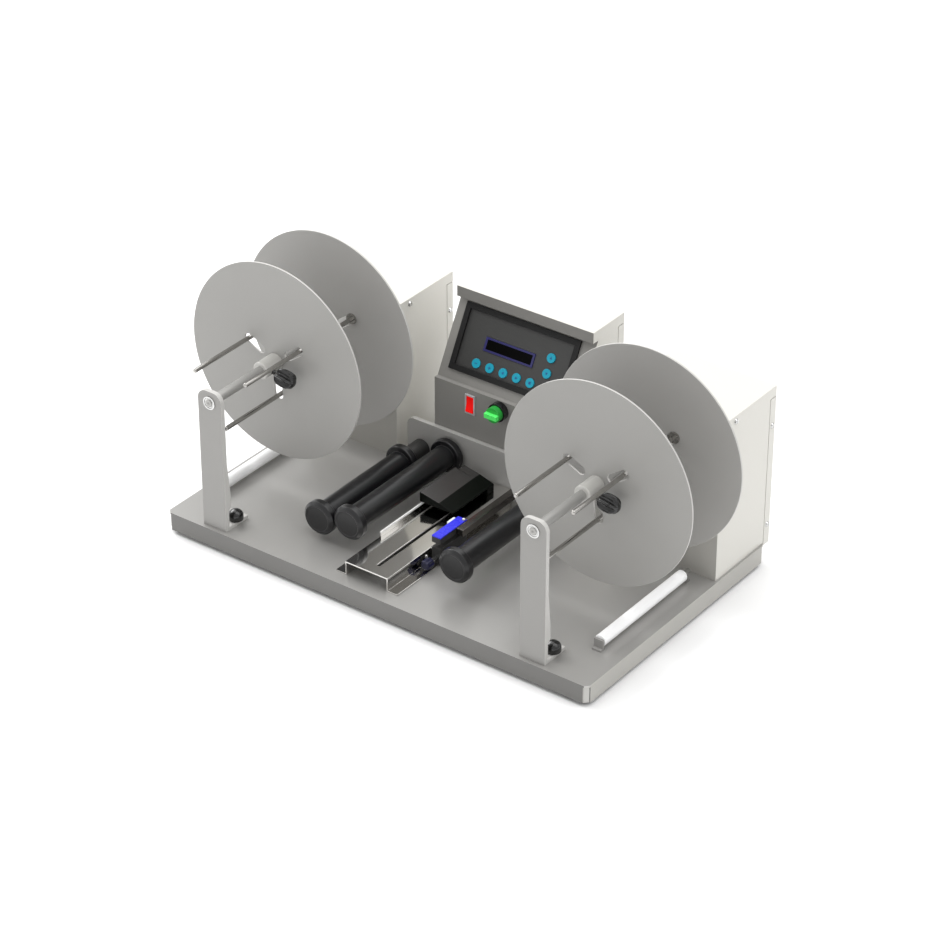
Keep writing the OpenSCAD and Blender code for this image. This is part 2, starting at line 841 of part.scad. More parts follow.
module lcd_module() {
    color(display_blue)
        in_frame()
            on_slope()
                difference() {
                    translate([lcd_x - lcd_w / 2, lcd_v - lcd_h / 2, board_w])
                        cube([lcd_w, lcd_h, 0.8 - board_w]);
                    translate([lcd_x - lcd_w / 2 + 2.5, lcd_v - lcd_h / 2 + 2, 0.3])
                        cube([lcd_w - 5, lcd_h - 4, 2]);
                }
}

module control_board() {
    color(board_green)
        in_frame()
            on_slope() {
                translate([board_left, board_low, board_w - board_t])
                    cube([board_right - board_left, board_high - board_low, board_t]);
                for (x = [board_left + board_post_d, board_right - board_post_d])
                    for (v = [board_low + board_post_d, board_high - board_post_d])
                        translate([x, v, board_w - board_t / 2])
                            cylinder(d = board_post_d, h = board_gap + board_t / 2);
                translate([lcd_x - chip_w / 2, board_mid - chip_w / 2, board_w - board_t - chip_t])
                    cube([chip_w, chip_w, chip_t + board_t / 2]);
                translate([board_right - 2 * plug_w, board_mid - plug_l / 2, board_w - board_t - plug_t])
                    cube([plug_w, plug_l, plug_t + board_t / 2]);
            }
}

module panel_key(i) {
    color(key_cyan)
        in_frame()
            on_slope()
                key_spot(i) {
                    translate([0, 0, -sheet_t - slide_fit - key_flange_t])
                        cylinder(d = key_d + 2.4, h = key_flange_t);
                    translate([0, 0, -sheet_t - slide_fit - key_flange_t / 2])
                        cylinder(d = key_d, h = sheet_t + slide_fit + key_flange_t / 2 + key_rise - 0.4);
                    translate([0, 0, key_rise - 0.4])
                        cylinder(d1 = key_d, d2 = key_d - 0.8, h = 0.4);
                }
}

module key_1() {
    panel_key(1);
}

module key_2() {
    panel_key(2);
}

module key_3() {
    panel_key(3);
}

module key_4() {
    panel_key(4);
}

module key_5() {
    panel_key(5);
}

module key_6() {
    panel_key(6);
}

module key_7() {
    panel_key(7);
}

// Power rocker, selector and power inlet

module rocker_block(grow, depth, start) {
    w = rocker_frame_w - 1.2 + 2 * grow;
    h = rocker_frame_h - 1.2 + 2 * grow;
    translate([rocker_x - w / 2, console_y + start, rocker_z - h / 2])
        cube([w, depth, h]);
}

module rocker_bezel() {
    well_w = rocker_frame_w - 2 * rocker_border;
    well_h = 2 * (rocker_r + slide_fit);
    pin_seat = rocker_half + slide_fit + 0.3;
    color(grey_plastic)
        in_frame()
            translate([rocker_x, 0, rocker_z])
                difference() {
                    union() {
                        translate([-rocker_frame_w / 2, console_y - rocker_frame_t, -rocker_frame_h / 2])
                            cube([rocker_frame_w, rocker_frame_t, rocker_frame_h]);
                        translate([-rocker_x, 0, -rocker_z])
                            rocker_block(0, 15.5, -0.5);
                    }
                    translate([-well_w / 2, console_y - rocker_frame_t - 1, -well_h / 2])
                        cube([well_w, rocker_frame_t + 11, well_h]);
                    translate([-pin_seat, pivot_y, 0])
                        rotate([0, 90, 0])
                            cylinder(d = 2.4 + 2 * run_fit, h = 2 * pin_seat);
                }
}

module power_rocker() {
    pin_half = rocker_half + slide_fit + 0.2;
    color(rocker_red)
        in_frame()
            translate([rocker_x, pivot_y, rocker_z])
                rotate([-rocker_tilt, 0, 0]) {
                    sidewise(-rocker_half, 2 * rocker_half)
                        polygon([
                            [-3, 8.4], [-1.6, 0], [-3, -8.4], [0.5, -8.6],
                            [4.5, -5], [4.5, 5], [0.5, 8.6]
                        ]);
                    translate([-pin_half, 0, 0])
                        rotate([0, 90, 0])
                            cylinder(d = 2.4, h = 2 * pin_half);
                }
}

module selector_base() {
    front = console_y - selector_base_l;
    color(black_plastic)
        in_frame()
            translate([selector_x, 0, selector_z])
                difference() {
                    union() {
                        rod_y_axis(0, front, 0, selector_base_d, selector_base_l);
                        rod_y_axis(0, console_y - 1, 0, selector_base_d - 3.5, 13);
                        rod_y_axis(0, console_y + sheet_t, 0, selector_base_d - 3, 3);
                    }
                    rod_y_axis(0, front - 1, 0, 6 + 2 * run_fit, selector_base_l + 10);
                }
}

module selector_knob() {
    knob_end = console_y - selector_base_l - slide_fit;
    color(selector_green)
        in_frame() {
            rod_y_axis(selector_x, knob_end - 6, selector_z, selector_d, 6);
            translate([selector_x - selector_d / 2 + 0.8, knob_end - selector_l, selector_z - 2.5])
                cube([selector_d - 1.6, selector_l - 5, 5]);
            rod_y_axis(selector_x, knob_end - 1, selector_z, 6, selector_base_l + 7);
        }
}

module power_inlet() {
    left = console_x - inlet_w / 2;
    pin_z = inlet_z + inlet_h / 2 - 2;
    color(black_plastic)
        in_frame() {
            difference() {
                union() {
                    translate([left + slide_fit, overall_d - inlet_l, inlet_z + slide_fit])
                        cube([inlet_w - 2 * slide_fit, inlet_l, inlet_h - 2 * slide_fit]);
                    translate([left - inlet_rim, overall_d - sheet_t - 2, inlet_z - inlet_rim])
                        cube([inlet_w + 2 * inlet_rim, 2, inlet_h + 2 * inlet_rim]);
                }
                translate([left + 2, overall_d - inlet_l + 6, inlet_z + 2.5])
                    cube([inlet_w - 4, inlet_l, inlet_h - 5]);
            }
            for (x = [-7, 0, 7])
                translate([console_x + x - 1, overall_d - inlet_l + 4, pin_z + (x == 0 ? 2 : 0)])
                    cube([2, 14, 4]);
        }
}

// Rollers and the plate that carries them

module plate_outline() {
    translate([console_x, 0])
        round_top(plate_w, plate_h, plate_corner);
}

module roller_plate() {
    color(cream_paint)
        in_frame()
            difference() {
                upright(plate_y, plate_t)
                    plate_outline();
                rod_y_axis(roller_1_x, plate_y - 1, roller_1_z, axle_d - 2 + 2 * seat_fit, plate_t + 2);
                rod_y_axis(roller_2_x, plate_y - 1, roller_z, axle_d - 2 + 2 * seat_fit, plate_t + 2);
                rod_y_axis(roller_3_x, plate_y - 1, roller_z, axle_d - 2 + 2 * seat_fit, plate_t + 2);
            }
}

module roller_axle(x, z, back, collar_d) {
    rod_y_axis(x, roller_y + 13, z, axle_d, plate_y - roller_y - 13);
    rod_y_axis(x, back + 0.3, z, collar_d, plate_y - back - 0.3);
    rod_y_axis(x, plate_y - 1, z, axle_d - 2, plate_t + 1);
}

module roller_axles() {
    color(dull_steel)
        in_frame() {
            roller_axle(roller_1_x, roller_1_z, roller_end - roller_1_short, axle_d + 12);
            roller_axle(roller_2_x, roller_z, roller_end, axle_d + 5);
            roller_axle(roller_3_x, roller_z, roller_end, axle_d + 5);
        }
}

module flanged_roller(x, z, l) {
    bore = axle_d / 2 + run_fit;
    color(black_plastic)
        in_frame()
            translate([x, roller_y, z])
                rotate([-90, 0, 0])
                    rotate_extrude()
                        polygon([
                            [0, 0], [flange_d / 2 - flange_bevel, 0], [flange_d / 2, flange_bevel],
                            [flange_d / 2, flange_l - 1], [flange_d / 2 - 1, flange_l],
                            [roller_d / 2, flange_l],
                            [roller_d / 2, l - flange_l], [flange_d / 2 - 1, l - flange_l],
                            [flange_d / 2, l - flange_l + 1], [flange_d / 2, l - flange_bevel],
                            [flange_d / 2 - flange_bevel, l], [bore, l], [bore, 12], [0, 12]
                        ]);
}

module roller_1() {
    flanged_roller(roller_1_x, roller_1_z, roller_l - roller_1_short);
}

module roller_2() {
    flanged_roller(roller_2_x, roller_z, roller_l);
}

module roller_3() {
    flanged_roller(roller_3_x, roller_z, roller_l);
}

module roller_stand(x) {
    front = tray_roller_y - 0.4;
    back = tray_roller_y + tray_roller_l + 0.4;
    axle_l = back - front + stand_t * 1.5 + axle_out;
    for (y = [front - stand_t, back])
        translate([x - stand_w / 2, y, 0])
            cube([stand_w, stand_t, tray_roller_z + stand_rise]);
    for (y = [front - stand_foot, back])
        translate([x - stand_w / 2, y, 0])
            cube([stand_w, stand_foot, 2]);
    rod_y_axis(x, front - stand_t / 2, tray_roller_z, tray_axle_d, axle_l);
}

module tray_roller_stands() {
    color(dull_steel)
        in_frame()
            for (s = [-1, 1])
                roller_stand(s * tray_roller_x);
}

module tray_roller(x) {
    color(roller_white)
        in_frame()
            difference() {
                rod_y_axis(x, tray_roller_y, tray_roller_z, tray_roller_d, tray_roller_l);
                rod_y_axis(x, tray_roller_y - 1, tray_roller_z, tray_axle_d + 2 * run_fit, tray_roller_l + 2);
            }
}

module left_tray_roller() {
    tray_roller(-tray_roller_x);
}

module right_tray_roller() {
    tray_roller(tray_roller_x);
}

// Guide channel, fence and sensors

module guide_channel() {
    l = plate_y - 0.4 - channel_y;
    color(bright_steel)
        in_frame()
            difference() {
                union() {
                    translate([channel_left, channel_y, channel_h - channel_t])
                        cube([channel_w, l, channel_t]);
                    for (x = [channel_left, channel_right - channel_t])
                        translate([x, channel_y, 0])
                            cube([channel_t, l, channel_h]);
                    translate([channel_left - channel_foot, channel_y, 0])
                        cube([channel_foot + channel_t, l, channel_t]);
                    translate([channel_right - channel_t, channel_y, 0])
                        cube([channel_foot + channel_t, l, channel_t]);
                }
                translate([guide_slot_mid - guide_slot_w / 2, guide_slot_y, channel_h - channel_t - 1])
                    cube([guide_slot_w, guide_slot_end - guide_slot_y, channel_t + 2]);
                for (y = [guide_slot_y, guide_slot_end])
                    translate([guide_slot_mid, y, channel_h - channel_t - 1])
                        cylinder(d = guide_slot_w, h = channel_t + 2);
            }
}

module guide_fence() {
    color(bright_steel)
        in_frame()
            translate([channel_left, fence_y, channel_h])
                cube([fence_t, fence_l, fence_h]);
}

module hood_outline(left, low) {
    fall = hood_h * 0.435;
    polygon([
        [left, low], [left, hood_z + hood_h - fall * (left - hood_x) / hood_fold],
        [hood_x + hood_fold, hood_z + hood_h - fall],
        [hood_x + hood_w, hood_z + hood_edge], [hood_x + hood_w, low]
    ]);
}

module sensor_head() {
    tongue_w = guide_slot_w - 2 * slide_fit;
    color(black_plastic)
        in_frame() {
            upright(hood_y, hood_l)
                hood_outline(hood_x, hood_z);
            upright(post_y - 1, post_l + 1)
                hood_outline(post_x, channel_h + slide_fit);
            translate([guide_slot_mid - tongue_w / 2, post_y + 2, channel_h - channel_t - 1.5])
                cube([tongue_w, post_l - 4, channel_t + 2.5]);
            translate([guide_slot_mid - 6, post_y + 2, channel_h - channel_t - 2.3])
                cube([12, post_l - 4, 2]);
            translate([hood_x + hood_w / 2, hood_y + hood_l / 2, hood_z - 1.2])
                cylinder(d = 8, h = 3);
        }
}

module gap_sensor() {
    color(black_plastic)
        in_frame()
            difference() {
                translate([fork_x, fork_y, fork_z])
                    cube([fork_w, fork_l, fork_h - fork_z]);
                translate([fork_x - 1, fork_y - 1, fork_slot_z])
                    cube([fork_w + 2, fork_slot_l + 1, fork_slot_h]);
                rod_y_axis(clamp_x, fork_y - 1, clamp_z, 5 + 2 * run_fit, 10);
            }
}

module sensor_cap() {
    color(cap_blue)
        in_frame()
            translate([fork_x, fork_y, fork_h])
                cube([fork_w, fork_l, cap_t]);
}

module sensor_clamp_knob() {
    front = fork_y - clamp_neck - clamp_l;
    color(knob_navy)
        in_frame()
            difference() {
                union() {
                    rod_y_axis(clamp_x, front, clamp_z, clamp_d, clamp_l);
                    rod_y_axis(clamp_x, fork_y - clamp_neck - 1, clamp_z, 5, clamp_neck + 9);
                }
                for (a = [0 : 45 : 315])
                    translate([clamp_x, front - 1, clamp_z])
                        rotate([0, a, 0])
                            rod_y_axis(clamp_d / 2 + 0.5, 0, 0, 2.4, clamp_l + 2);
            }
}

module sensor_bar() {
    color(dull_steel)
        in_frame()
            translate([bar_x, bar_y, bar_z])
                cube([bar_w, plate_y - bar_y, bar_h]);
}

// Spindles: shafts, bearings, brackets, drive and brake

module shaft_bearings() {
    rim_y = housing_y - bearing_rim_t;
    shaft_bore = shaft_d + 2 * run_fit;
    bore_l = bearing_rim_t + bearing_l + 2;
    bush_y = bracket_y - bush_rim_t;
    bush_l = bracket_t + bush_rim_t / 2;
    color(bright_steel)
        in_frame()
            for (s = [-1, 1]) {
                difference() {
                    union() {
                        rod_y_axis(s * spindle_x, rim_y, spindle_z, bearing_rim_d, bearing_rim_t);
                        rod_y_axis(s * spindle_x, housing_y - 1, spindle_z, bearing_d, bearing_l + 1);
                    }
                    rod_y_axis(s * spindle_x, rim_y - 1, spindle_z, shaft_bore, bore_l);
                }
                difference() {
                    union() {
                        rod_y_axis(s * spindle_x, bush_y, spindle_z, bush_rim_d, bush_rim_t);
                        rod_y_axis(s * spindle_x, bracket_y - bush_rim_t / 2, spindle_z, bush_d, bush_l);
                    }
                    rod_y_axis(s * spindle_x, bush_y - 1, spindle_z, journal_d + 2 * run_fit, bracket_t + 4);
                }
            }
}

module bracket(x) {
    back = bracket_y + bracket_t;
    difference() {
        union() {
            upright(bracket_y, bracket_t)
                translate([x, 0])
                    round_top(bracket_w, spindle_z + bracket_rise, bracket_corner);
            translate([x - bracket_w / 2, bracket_y, 0])
                cube([bracket_w, bracket_foot_l, bracket_foot_t]);
            sidewise(x + bracket_w / 2 - rib_t, rib_t)
                polygon([
                    [back - 1, rib_foot - rib_d], [back - 1, rib_top], [back, rib_top],
                    [back + rib_d, rib_full], [back + rib_d, rib_foot], [back, rib_foot - rib_d]
                ]);
        }
        rod_y_axis(x, bracket_y - 1, spindle_z, bush_d + 2 * seat_fit, bracket_t + 2);
        translate([x + thumb_x, thumb_y, -1])
            cylinder(d = stud_d + 2 * slide_fit, h = bracket_foot_t + 2);
    }
}

module left_bracket() {
    color(bracket_paint)
        in_frame()
            bracket(-spindle_x);
}

module right_bracket() {
    color(bracket_paint)
        in_frame()
            bracket(spindle_x);
}

module thumb_knob(x) {
    color(black_plastic)
        in_frame()
            translate([x + thumb_x, thumb_y, bracket_foot_t])
                rotate_extrude()
                    polygon([
                        [0, -bracket_foot_t - tray_t - 6], [stud_d / 2, -bracket_foot_t - tray_t - 6],
                        [stud_d / 2, 0], [thumb_d / 2 - 1, 0], [thumb_d / 2, 1],
                        [thumb_d / 2, thumb_h * 0.45],
                        [thumb_d * 0.45, thumb_h * 0.72], [thumb_d * 0.33, thumb_h * 0.92],
                        [thumb_d * 0.16, thumb_h], [0, thumb_h]
                    ]);
}

module left_thumb_knob() {
    thumb_knob(-spindle_x);
}

module right_thumb_knob() {
    thumb_knob(spindle_x);
}

module shaft(x, end) {
    step = bracket_y + bracket_t + 1;
    color(bright_steel)
        in_frame() {
            rod_y_axis(x, bracket_y - 1.6, spindle_z, journal_d, step - bracket_y + 2);
            rod_y_axis(x, step, spindle_z, shaft_d, end - step);
        }
}

module left_shaft() {
    shaft(-spindle_x, brake_y + brake_l + drive_plate_t + 1);
}

module right_shaft() {
    shaft(spindle_x, coupling_y + coupling_l * 0.6 - 0.5);
}

module radial_slots() {
    for (k = [0 : 2])
        rotate([0, 0, rod_angle + 120 * k]) {
            translate([slot_in + slot_w / 2, -slot_w / 2])
                square([slot_out - slot_in - slot_w, slot_w]);
            translate([slot_in + slot_w / 2, 0])
                circle(d = slot_w);
            translate([slot_out - slot_w / 2, 0])
                circle(d = slot_w);
        }
}

module disc_outline(hole) {
    difference() {
        circle(d = disc_d);
        circle(d = hole);
        radial_slots();
    }
}

module rear_disc(x) {
    color(cream_paint)
        in_frame()
            translate([x, 0, spindle_z])
                difference() {
                    union() {
                        upright(rear_disc_y, disc_t)
                            disc_outline(shaft_d);
                        rod_y_axis(0, rear_disc_y + disc_t / 2, 0, boss_d, boss_l + disc_t / 2);
                    }
                    rod_y_axis(0, rear_disc_y - 1, 0, shaft_d + 2 * seat_fit, boss_l + disc_t + 2);
                }
}

module left_rear_disc() {
    rear_disc(-spindle_x);
}

module right_rear_disc() {
    rear_disc(spindle_x);
}

module front_disc(x) {
    color(cream_paint)
        in_frame()
            translate([x, 0, spindle_z])
                upright(front_disc_y, disc_t)
                    disc_outline(hub_d - 2 + 2 * seat_fit);
}

module left_front_disc() {
    front_disc(-spindle_x);
}

module right_front_disc() {
    front_disc(spindle_x);
}

module front_hub(x) {
    color(bright_steel)
        in_frame()
            translate([x, 0, spindle_z])
                difference() {
                    union() {
                        rod_y_axis(0, hub_front, 0, hub_d, hub_l);
                        rod_y_axis(0, front_disc_y - 1, 0, hub_d - 2, disc_t + 2);
                        rod_y_axis(0, front_disc_y + disc_t, 0, hub_flange_d, 2.5);
                    }
                    rod_y_axis(0, hub_front - 1, 0, shaft_d + 2 * run_fit, hub_l + disc_t + 6);
                    translate([0, knob_y, 0])
                        rotate([0, 90 + star_angle, 0])
                            cylinder(d = star_stem_d + 2 * run_fit, h = hub_d);
                }
}

module left_front_hub() {
    front_hub(-spindle_x);
}

module right_front_hub() {
    front_hub(spindle_x);
}

module flange_knob(x) {
    lobe_d = star_d * 0.32;
    color(black_plastic)
        in_frame()
            translate([x, knob_y, spindle_z])
                rotate([0, 90 + star_angle, 0]) {
                    translate([0, 0, shaft_d / 2 + 0.3])
                        cylinder(d = star_stem_d, h = star_r - shaft_d / 2 + 0.7);
                    translate([0, 0, star_r - 3])
                        cylinder(d1 = star_d * 0.5, d2 = star_d * 0.7, h = 4);
                    translate([0, 0, star_r]) {
                        cylinder(d = star_d * 0.8, h = star_l - 1.5);
                        translate([0, 0, star_l - 2])
                            cylinder(d1 = star_d * 0.72, d2 = star_d * 0.5, h = 2);
                        for (a = [0 : 60 : 300])
                            rotate([0, 0, a])
                                translate([star_d / 2 - lobe_d / 2, 0, 0.6])
                                    cylinder(d = lobe_d, h = star_l - 2.4);
                    }
                }
}

module left_flange_knob() {
    flange_knob(-spindle_x);
}

module right_flange_knob() {
    flange_knob(spindle_x);
}

module core_rods(x) {
    back = rear_disc_y + disc_t;
    color(bright_steel)
        in_frame()
            translate([x, 0, spindle_z])
                for (k = [0 : 2])
                    rotate([0, -rod_angle - 120 * k, 0]) {
                        rod_y_axis(rod_r, rod_y + 1, 0, rod_d, back + 7 - rod_y);
                        translate([rod_r, rod_y, 0])
                            rotate([-90, 0, 0])
                                cylinder(d1 = rod_d - 1.6, d2 = rod_d, h = 1);
                        rod_y_axis(rod_r, rear_disc_y - 1.5, 0, washer_d, 1.5);
                        rod_y_axis(rod_r, back, 0, washer_d, 1.5);
                        translate([rod_r, back + 1, 0])
                            rotate([-90, 0, 0])
                                cylinder(d = rod_d * 1.9, h = 4.5, $fn = 6);
                    }
}

module left_core_rods() {
    core_rods(-spindle_x);
}

module right_core_rods() {
    core_rods(spindle_x);
}

module shaft_coupling() {
    bore = shaft_d + 2 * seat_fit;
    color(dull_steel)
        in_frame()
            difference() {
                union() {
                    rod_y_axis(spindle_x, coupling_y, spindle_z, coupling_d, coupling_l);
                    rod_y_axis(spindle_x, coupling_y + coupling_l - 1, spindle_z, motor_stub_d, stub_l);
                }
                rod_y_axis(spindle_x, coupling_y - 1, spindle_z, bore, coupling_l * 0.6 + 1);
            }
}

module drive_motor() {
    plate_front = motor_y - drive_plate_t;
    color(dull_steel)
        in_frame()
            difference() {
                union() {
                    translate([spindle_x - motor_plate_w / 2, plate_front, 0])
                        cube([motor_plate_w, drive_plate_t, spindle_z + gearbox_w / 2 + 4]);
                    translate([spindle_x - motor_plate_w / 2, plate_front, 0])
                        cube([motor_plate_w, housing_depth * 0.277, drive_plate_t]);
                    translate([spindle_x - gearbox_w / 2, motor_y - 1, spindle_z - gearbox_w / 2])
                        cube([gearbox_w, gearbox_l, gearbox_w]);
                    rod_y_axis(spindle_x, motor_y + gearbox_l - 2, spindle_z, motor_d, housing_depth * 0.128);
                }
                rod_y_axis(spindle_x, plate_front - 1, spindle_z, motor_stub_d + 2 * run_fit, stub_l + 1);
            }
}

module unwind_brake() {
    plate_front = brake_y + brake_l - 1;
    bore = shaft_d + 2 * run_fit;
    color(dull_steel)
        in_frame()
            difference() {
                union() {
                    translate([-spindle_x - brake_plate_w / 2, plate_front, 0])
                        cube([brake_plate_w, drive_plate_t, spindle_z + brake_w / 2]);
                    translate([-spindle_x - brake_plate_w / 2, plate_front, 0])
                        cube([brake_plate_w, housing_depth * 0.255, drive_plate_t]);
                    translate([-spindle_x - brake_w / 2, brake_y, spindle_z - brake_w / 2])
                        cube([brake_w, brake_l, brake_w]);
                }
                rod_y_axis(-spindle_x, brake_y - 1, spindle_z, bore, brake_l + drive_plate_t + 2);
            }
}

base_tray();
rubber_feet();
left_housing();
right_housing();
left_rear_cover();
right_rear_cover();
console_shell();
console_rear_cover();
cover_screws();
panel_bezel();
keypad_panel();
lcd_module();
control_board();
rocker_bezel();
selector_base();
power_inlet();
roller_plate();
roller_axles();
tray_roller_stands();
guide_channel();
guide_fence();
sensor_bar();
shaft_bearings();
left_bracket();
right_bracket();
drive_motor();
unwind_brake();
key_1();
key_2();
key_3();
key_4();
key_5();
key_6();
key_7();
power_rocker();
selector_knob();
roller_1();
roller_2();
roller_3();
left_tray_roller();
right_tray_roller();
sensor_head();
gap_sensor();
sensor_cap();
sensor_clamp_knob();
left_shaft();
right_shaft();
left_rear_disc();
right_rear_disc();
left_front_disc();
right_front_disc();
left_front_hub();
right_front_hub();
left_core_rods();
right_core_rods();
left_flange_knob();
right_flange_knob();
left_thumb_knob();
right_thumb_knob();
shaft_coupling();
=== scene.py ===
"""Looks of the label counter rewinder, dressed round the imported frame.

Lengths are in millimetres unless said otherwise.
"""

import json
import math

import bmesh
import bpy
from mathutils import Matrix, Vector


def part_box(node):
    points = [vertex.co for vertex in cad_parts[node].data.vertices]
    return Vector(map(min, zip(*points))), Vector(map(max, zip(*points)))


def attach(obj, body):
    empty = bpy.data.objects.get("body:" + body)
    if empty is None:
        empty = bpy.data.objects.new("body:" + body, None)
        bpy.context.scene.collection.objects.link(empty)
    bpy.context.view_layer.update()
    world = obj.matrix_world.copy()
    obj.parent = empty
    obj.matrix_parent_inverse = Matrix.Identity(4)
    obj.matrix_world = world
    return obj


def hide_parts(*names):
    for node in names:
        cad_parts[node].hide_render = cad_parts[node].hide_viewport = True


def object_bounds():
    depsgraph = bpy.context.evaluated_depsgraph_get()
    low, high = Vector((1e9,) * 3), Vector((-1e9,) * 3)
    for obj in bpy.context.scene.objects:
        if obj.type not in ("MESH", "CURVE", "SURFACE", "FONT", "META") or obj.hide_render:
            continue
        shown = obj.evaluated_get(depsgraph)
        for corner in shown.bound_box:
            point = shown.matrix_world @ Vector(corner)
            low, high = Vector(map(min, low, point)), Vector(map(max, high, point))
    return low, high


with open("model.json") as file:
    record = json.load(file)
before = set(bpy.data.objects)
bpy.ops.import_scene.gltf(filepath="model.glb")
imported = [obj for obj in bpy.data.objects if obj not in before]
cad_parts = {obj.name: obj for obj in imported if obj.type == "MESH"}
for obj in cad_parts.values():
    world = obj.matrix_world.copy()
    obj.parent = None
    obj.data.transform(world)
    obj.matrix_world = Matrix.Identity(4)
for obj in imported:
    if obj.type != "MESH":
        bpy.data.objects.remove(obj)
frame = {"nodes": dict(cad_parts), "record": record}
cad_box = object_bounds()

MM = 0.001
BODY_OF = {n: body for body, nodes in frame["record"]["behaviour"]["bodies"].items() for n in nodes}
tray_low, tray_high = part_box("base_tray")


def spot(x, y, z):
    """A point in metres, given in millimetres from the middle line, the tray's front edge and its top."""
    return Vector((x * MM, tray_low.y + y * MM, tray_high.z + z * MM))


# Shared surface effects, each a node group

def new_group(name, inputs, outputs):
    group = bpy.data.node_groups.new(name, "ShaderNodeTree")
    for label, kind, value in inputs:
        group.interface.new_socket(label, in_out="INPUT", socket_type=kind).default_value = value
    for label, kind in outputs:
        group.interface.new_socket(label, in_out="OUTPUT", socket_type=kind)
    return group, group.nodes.new("NodeGroupInput").outputs, group.nodes.new("NodeGroupOutput").inputs


def plug(tree, value, socket):
    if isinstance(value, bpy.types.NodeSocket):
        tree.links.new(value, socket)
    else:
        socket.default_value = value


def calc(tree, operation, a, b, clamp=False):
    node = tree.nodes.new("ShaderNodeMath")
    node.operation = operation
    node.use_clamp = clamp
    plug(tree, a, node.inputs[0])
    plug(tree, b, node.inputs[1])
    return node.outputs[0]


def noise(tree, scale, detail=2.0, vector=None):
    node = tree.nodes.new("ShaderNodeTexNoise")
    node.inputs["Detail"].default_value = detail
    plug(tree, scale, node.inputs["Scale"])
    place = vector or tree.nodes.new("ShaderNodeTexCoord").outputs["Object"]
    tree.links.new(place, node.inputs["Vector"])
    return node.outputs["Fac"]


def blend_colour(tree, factor, a, b):
    node = tree.nodes.new("ShaderNodeMix")
    node.data_type = "RGBA"
    plug(tree, factor, node.inputs["Factor"])
    plug(tree, a, node.inputs[6])
    plug(tree, b, node.inputs[7])
    return node.outputs[2]


FLOAT, COLOUR, VECTOR = "NodeSocketFloat", "NodeSocketColor", "NodeSocketVector"
MID_GREY = (0.5, 0.5, 0.5, 1)


def make_patches():
    finer = 7.0
    group, given, out = new_group(
        "tone_patches",
        [("Tone", COLOUR, MID_GREY), ("Spread", FLOAT, 0.1), ("Patches", FLOAT, 12.0),
         ("Roughness", FLOAT, 0.5), ("Rough Spread", FLOAT, 0.1)],
        [("Color", COLOUR), ("Roughness", FLOAT)])
    broad = noise(group, given["Patches"], 3.0)
    shift = calc(group, "MULTIPLY", calc(group, "SUBTRACT", broad, 0.5), given["Spread"])
    tint = group.nodes.new("ShaderNodeHueSaturation")
    group.links.new(given["Tone"], tint.inputs["Color"])
    group.links.new(calc(group, "ADD", shift, 1.0), tint.inputs["Value"])
    group.links.new(tint.outputs["Color"], out["Color"])
    fine = noise(group, calc(group, "MULTIPLY", given["Patches"], finer), 4.0)
    rough = calc(group, "MULTIPLY", calc(group, "SUBTRACT", fine, 0.5), given["Rough Spread"])
    group.links.new(calc(group, "ADD", rough, given["Roughness"], clamp=True), out["Roughness"])
    return group


def make_orange_peel():
    finer, speck_share = 4.0, 0.25
    group, given, out = new_group("orange_peel", [("Pitch", FLOAT, 800.0)], [("Height", FLOAT)])
    dimples = noise(group, given["Pitch"], 1.0)
    specks = noise(group, calc(group, "MULTIPLY", given["Pitch"], finer), 2.0)
    height = calc(group, "ADD", dimples, calc(group, "MULTIPLY", specks, speck_share))
    group.links.new(height, out["Height"])
    return group


def make_brushed_lines():
    group, given, out = new_group(
        "brushed_lines", [("Stretch", VECTOR, (1, 1, 1)), ("Pitch", FLOAT, 600.0)], [("Height", FLOAT)])
    along = group.nodes.new("ShaderNodeVectorMath")
    along.operation = "MULTIPLY"
    group.links.new(group.nodes.new("ShaderNodeTexCoord").outputs["Object"], along.inputs[0])
    group.links.new(given["Stretch"], along.inputs[1])
    group.links.new(noise(group, given["Pitch"], 3.0, along.outputs[0]), out["Height"])
    return group


def make_moulded_grain():
    group, given, out = new_group("moulded_grain", [("Pitch", FLOAT, 1500.0)], [("Height", FLOAT)])
    cells = group.nodes.new("ShaderNodeTexVoronoi")
    group.links.new(group.nodes.new("ShaderNodeTexCoord").outputs["Object"], cells.inputs["Vector"])
    group.links.new(given["Pitch"], cells.inputs["Scale"])
    speckle = noise(group, given["Pitch"], 2.0)
    group.links.new(calc(group, "ADD", cells.outputs["Distance"], speckle), out["Height"])
    return group


# Rims picked out by pointiness: real scuffing on the edges, and where the rim tone is lighter, a painted
# highlight for the light that edges catch.
def make_scuffed_and_highlit_rims():
    rim_from, rim_full, breaks = 0.515, 0.60, 60.0
    group, given, out = new_group(
        "scuffed_and_highlit_rims",
        [("Tone", COLOUR, MID_GREY), ("Worn Tone", COLOUR, (0.8, 0.8, 0.8, 1)), ("Amount", FLOAT, 0.3)],
        [("Color", COLOUR)])
    reach = group.nodes.new("ShaderNodeMapRange")
    reach.inputs["From Min"].default_value = rim_from
    reach.inputs["From Max"].default_value = rim_full
    pointed = group.nodes.new("ShaderNodeNewGeometry").outputs["Pointiness"]
    group.links.new(pointed, reach.inputs["Value"])
    broken = calc(group, "MULTIPLY", reach.outputs["Result"], noise(group, breaks, 3.0))
    amount = calc(group, "MULTIPLY", broken, given["Amount"], clamp=True)
    group.links.new(blend_colour(group, amount, given["Tone"], given["Worn Tone"]), out["Color"])
    return group


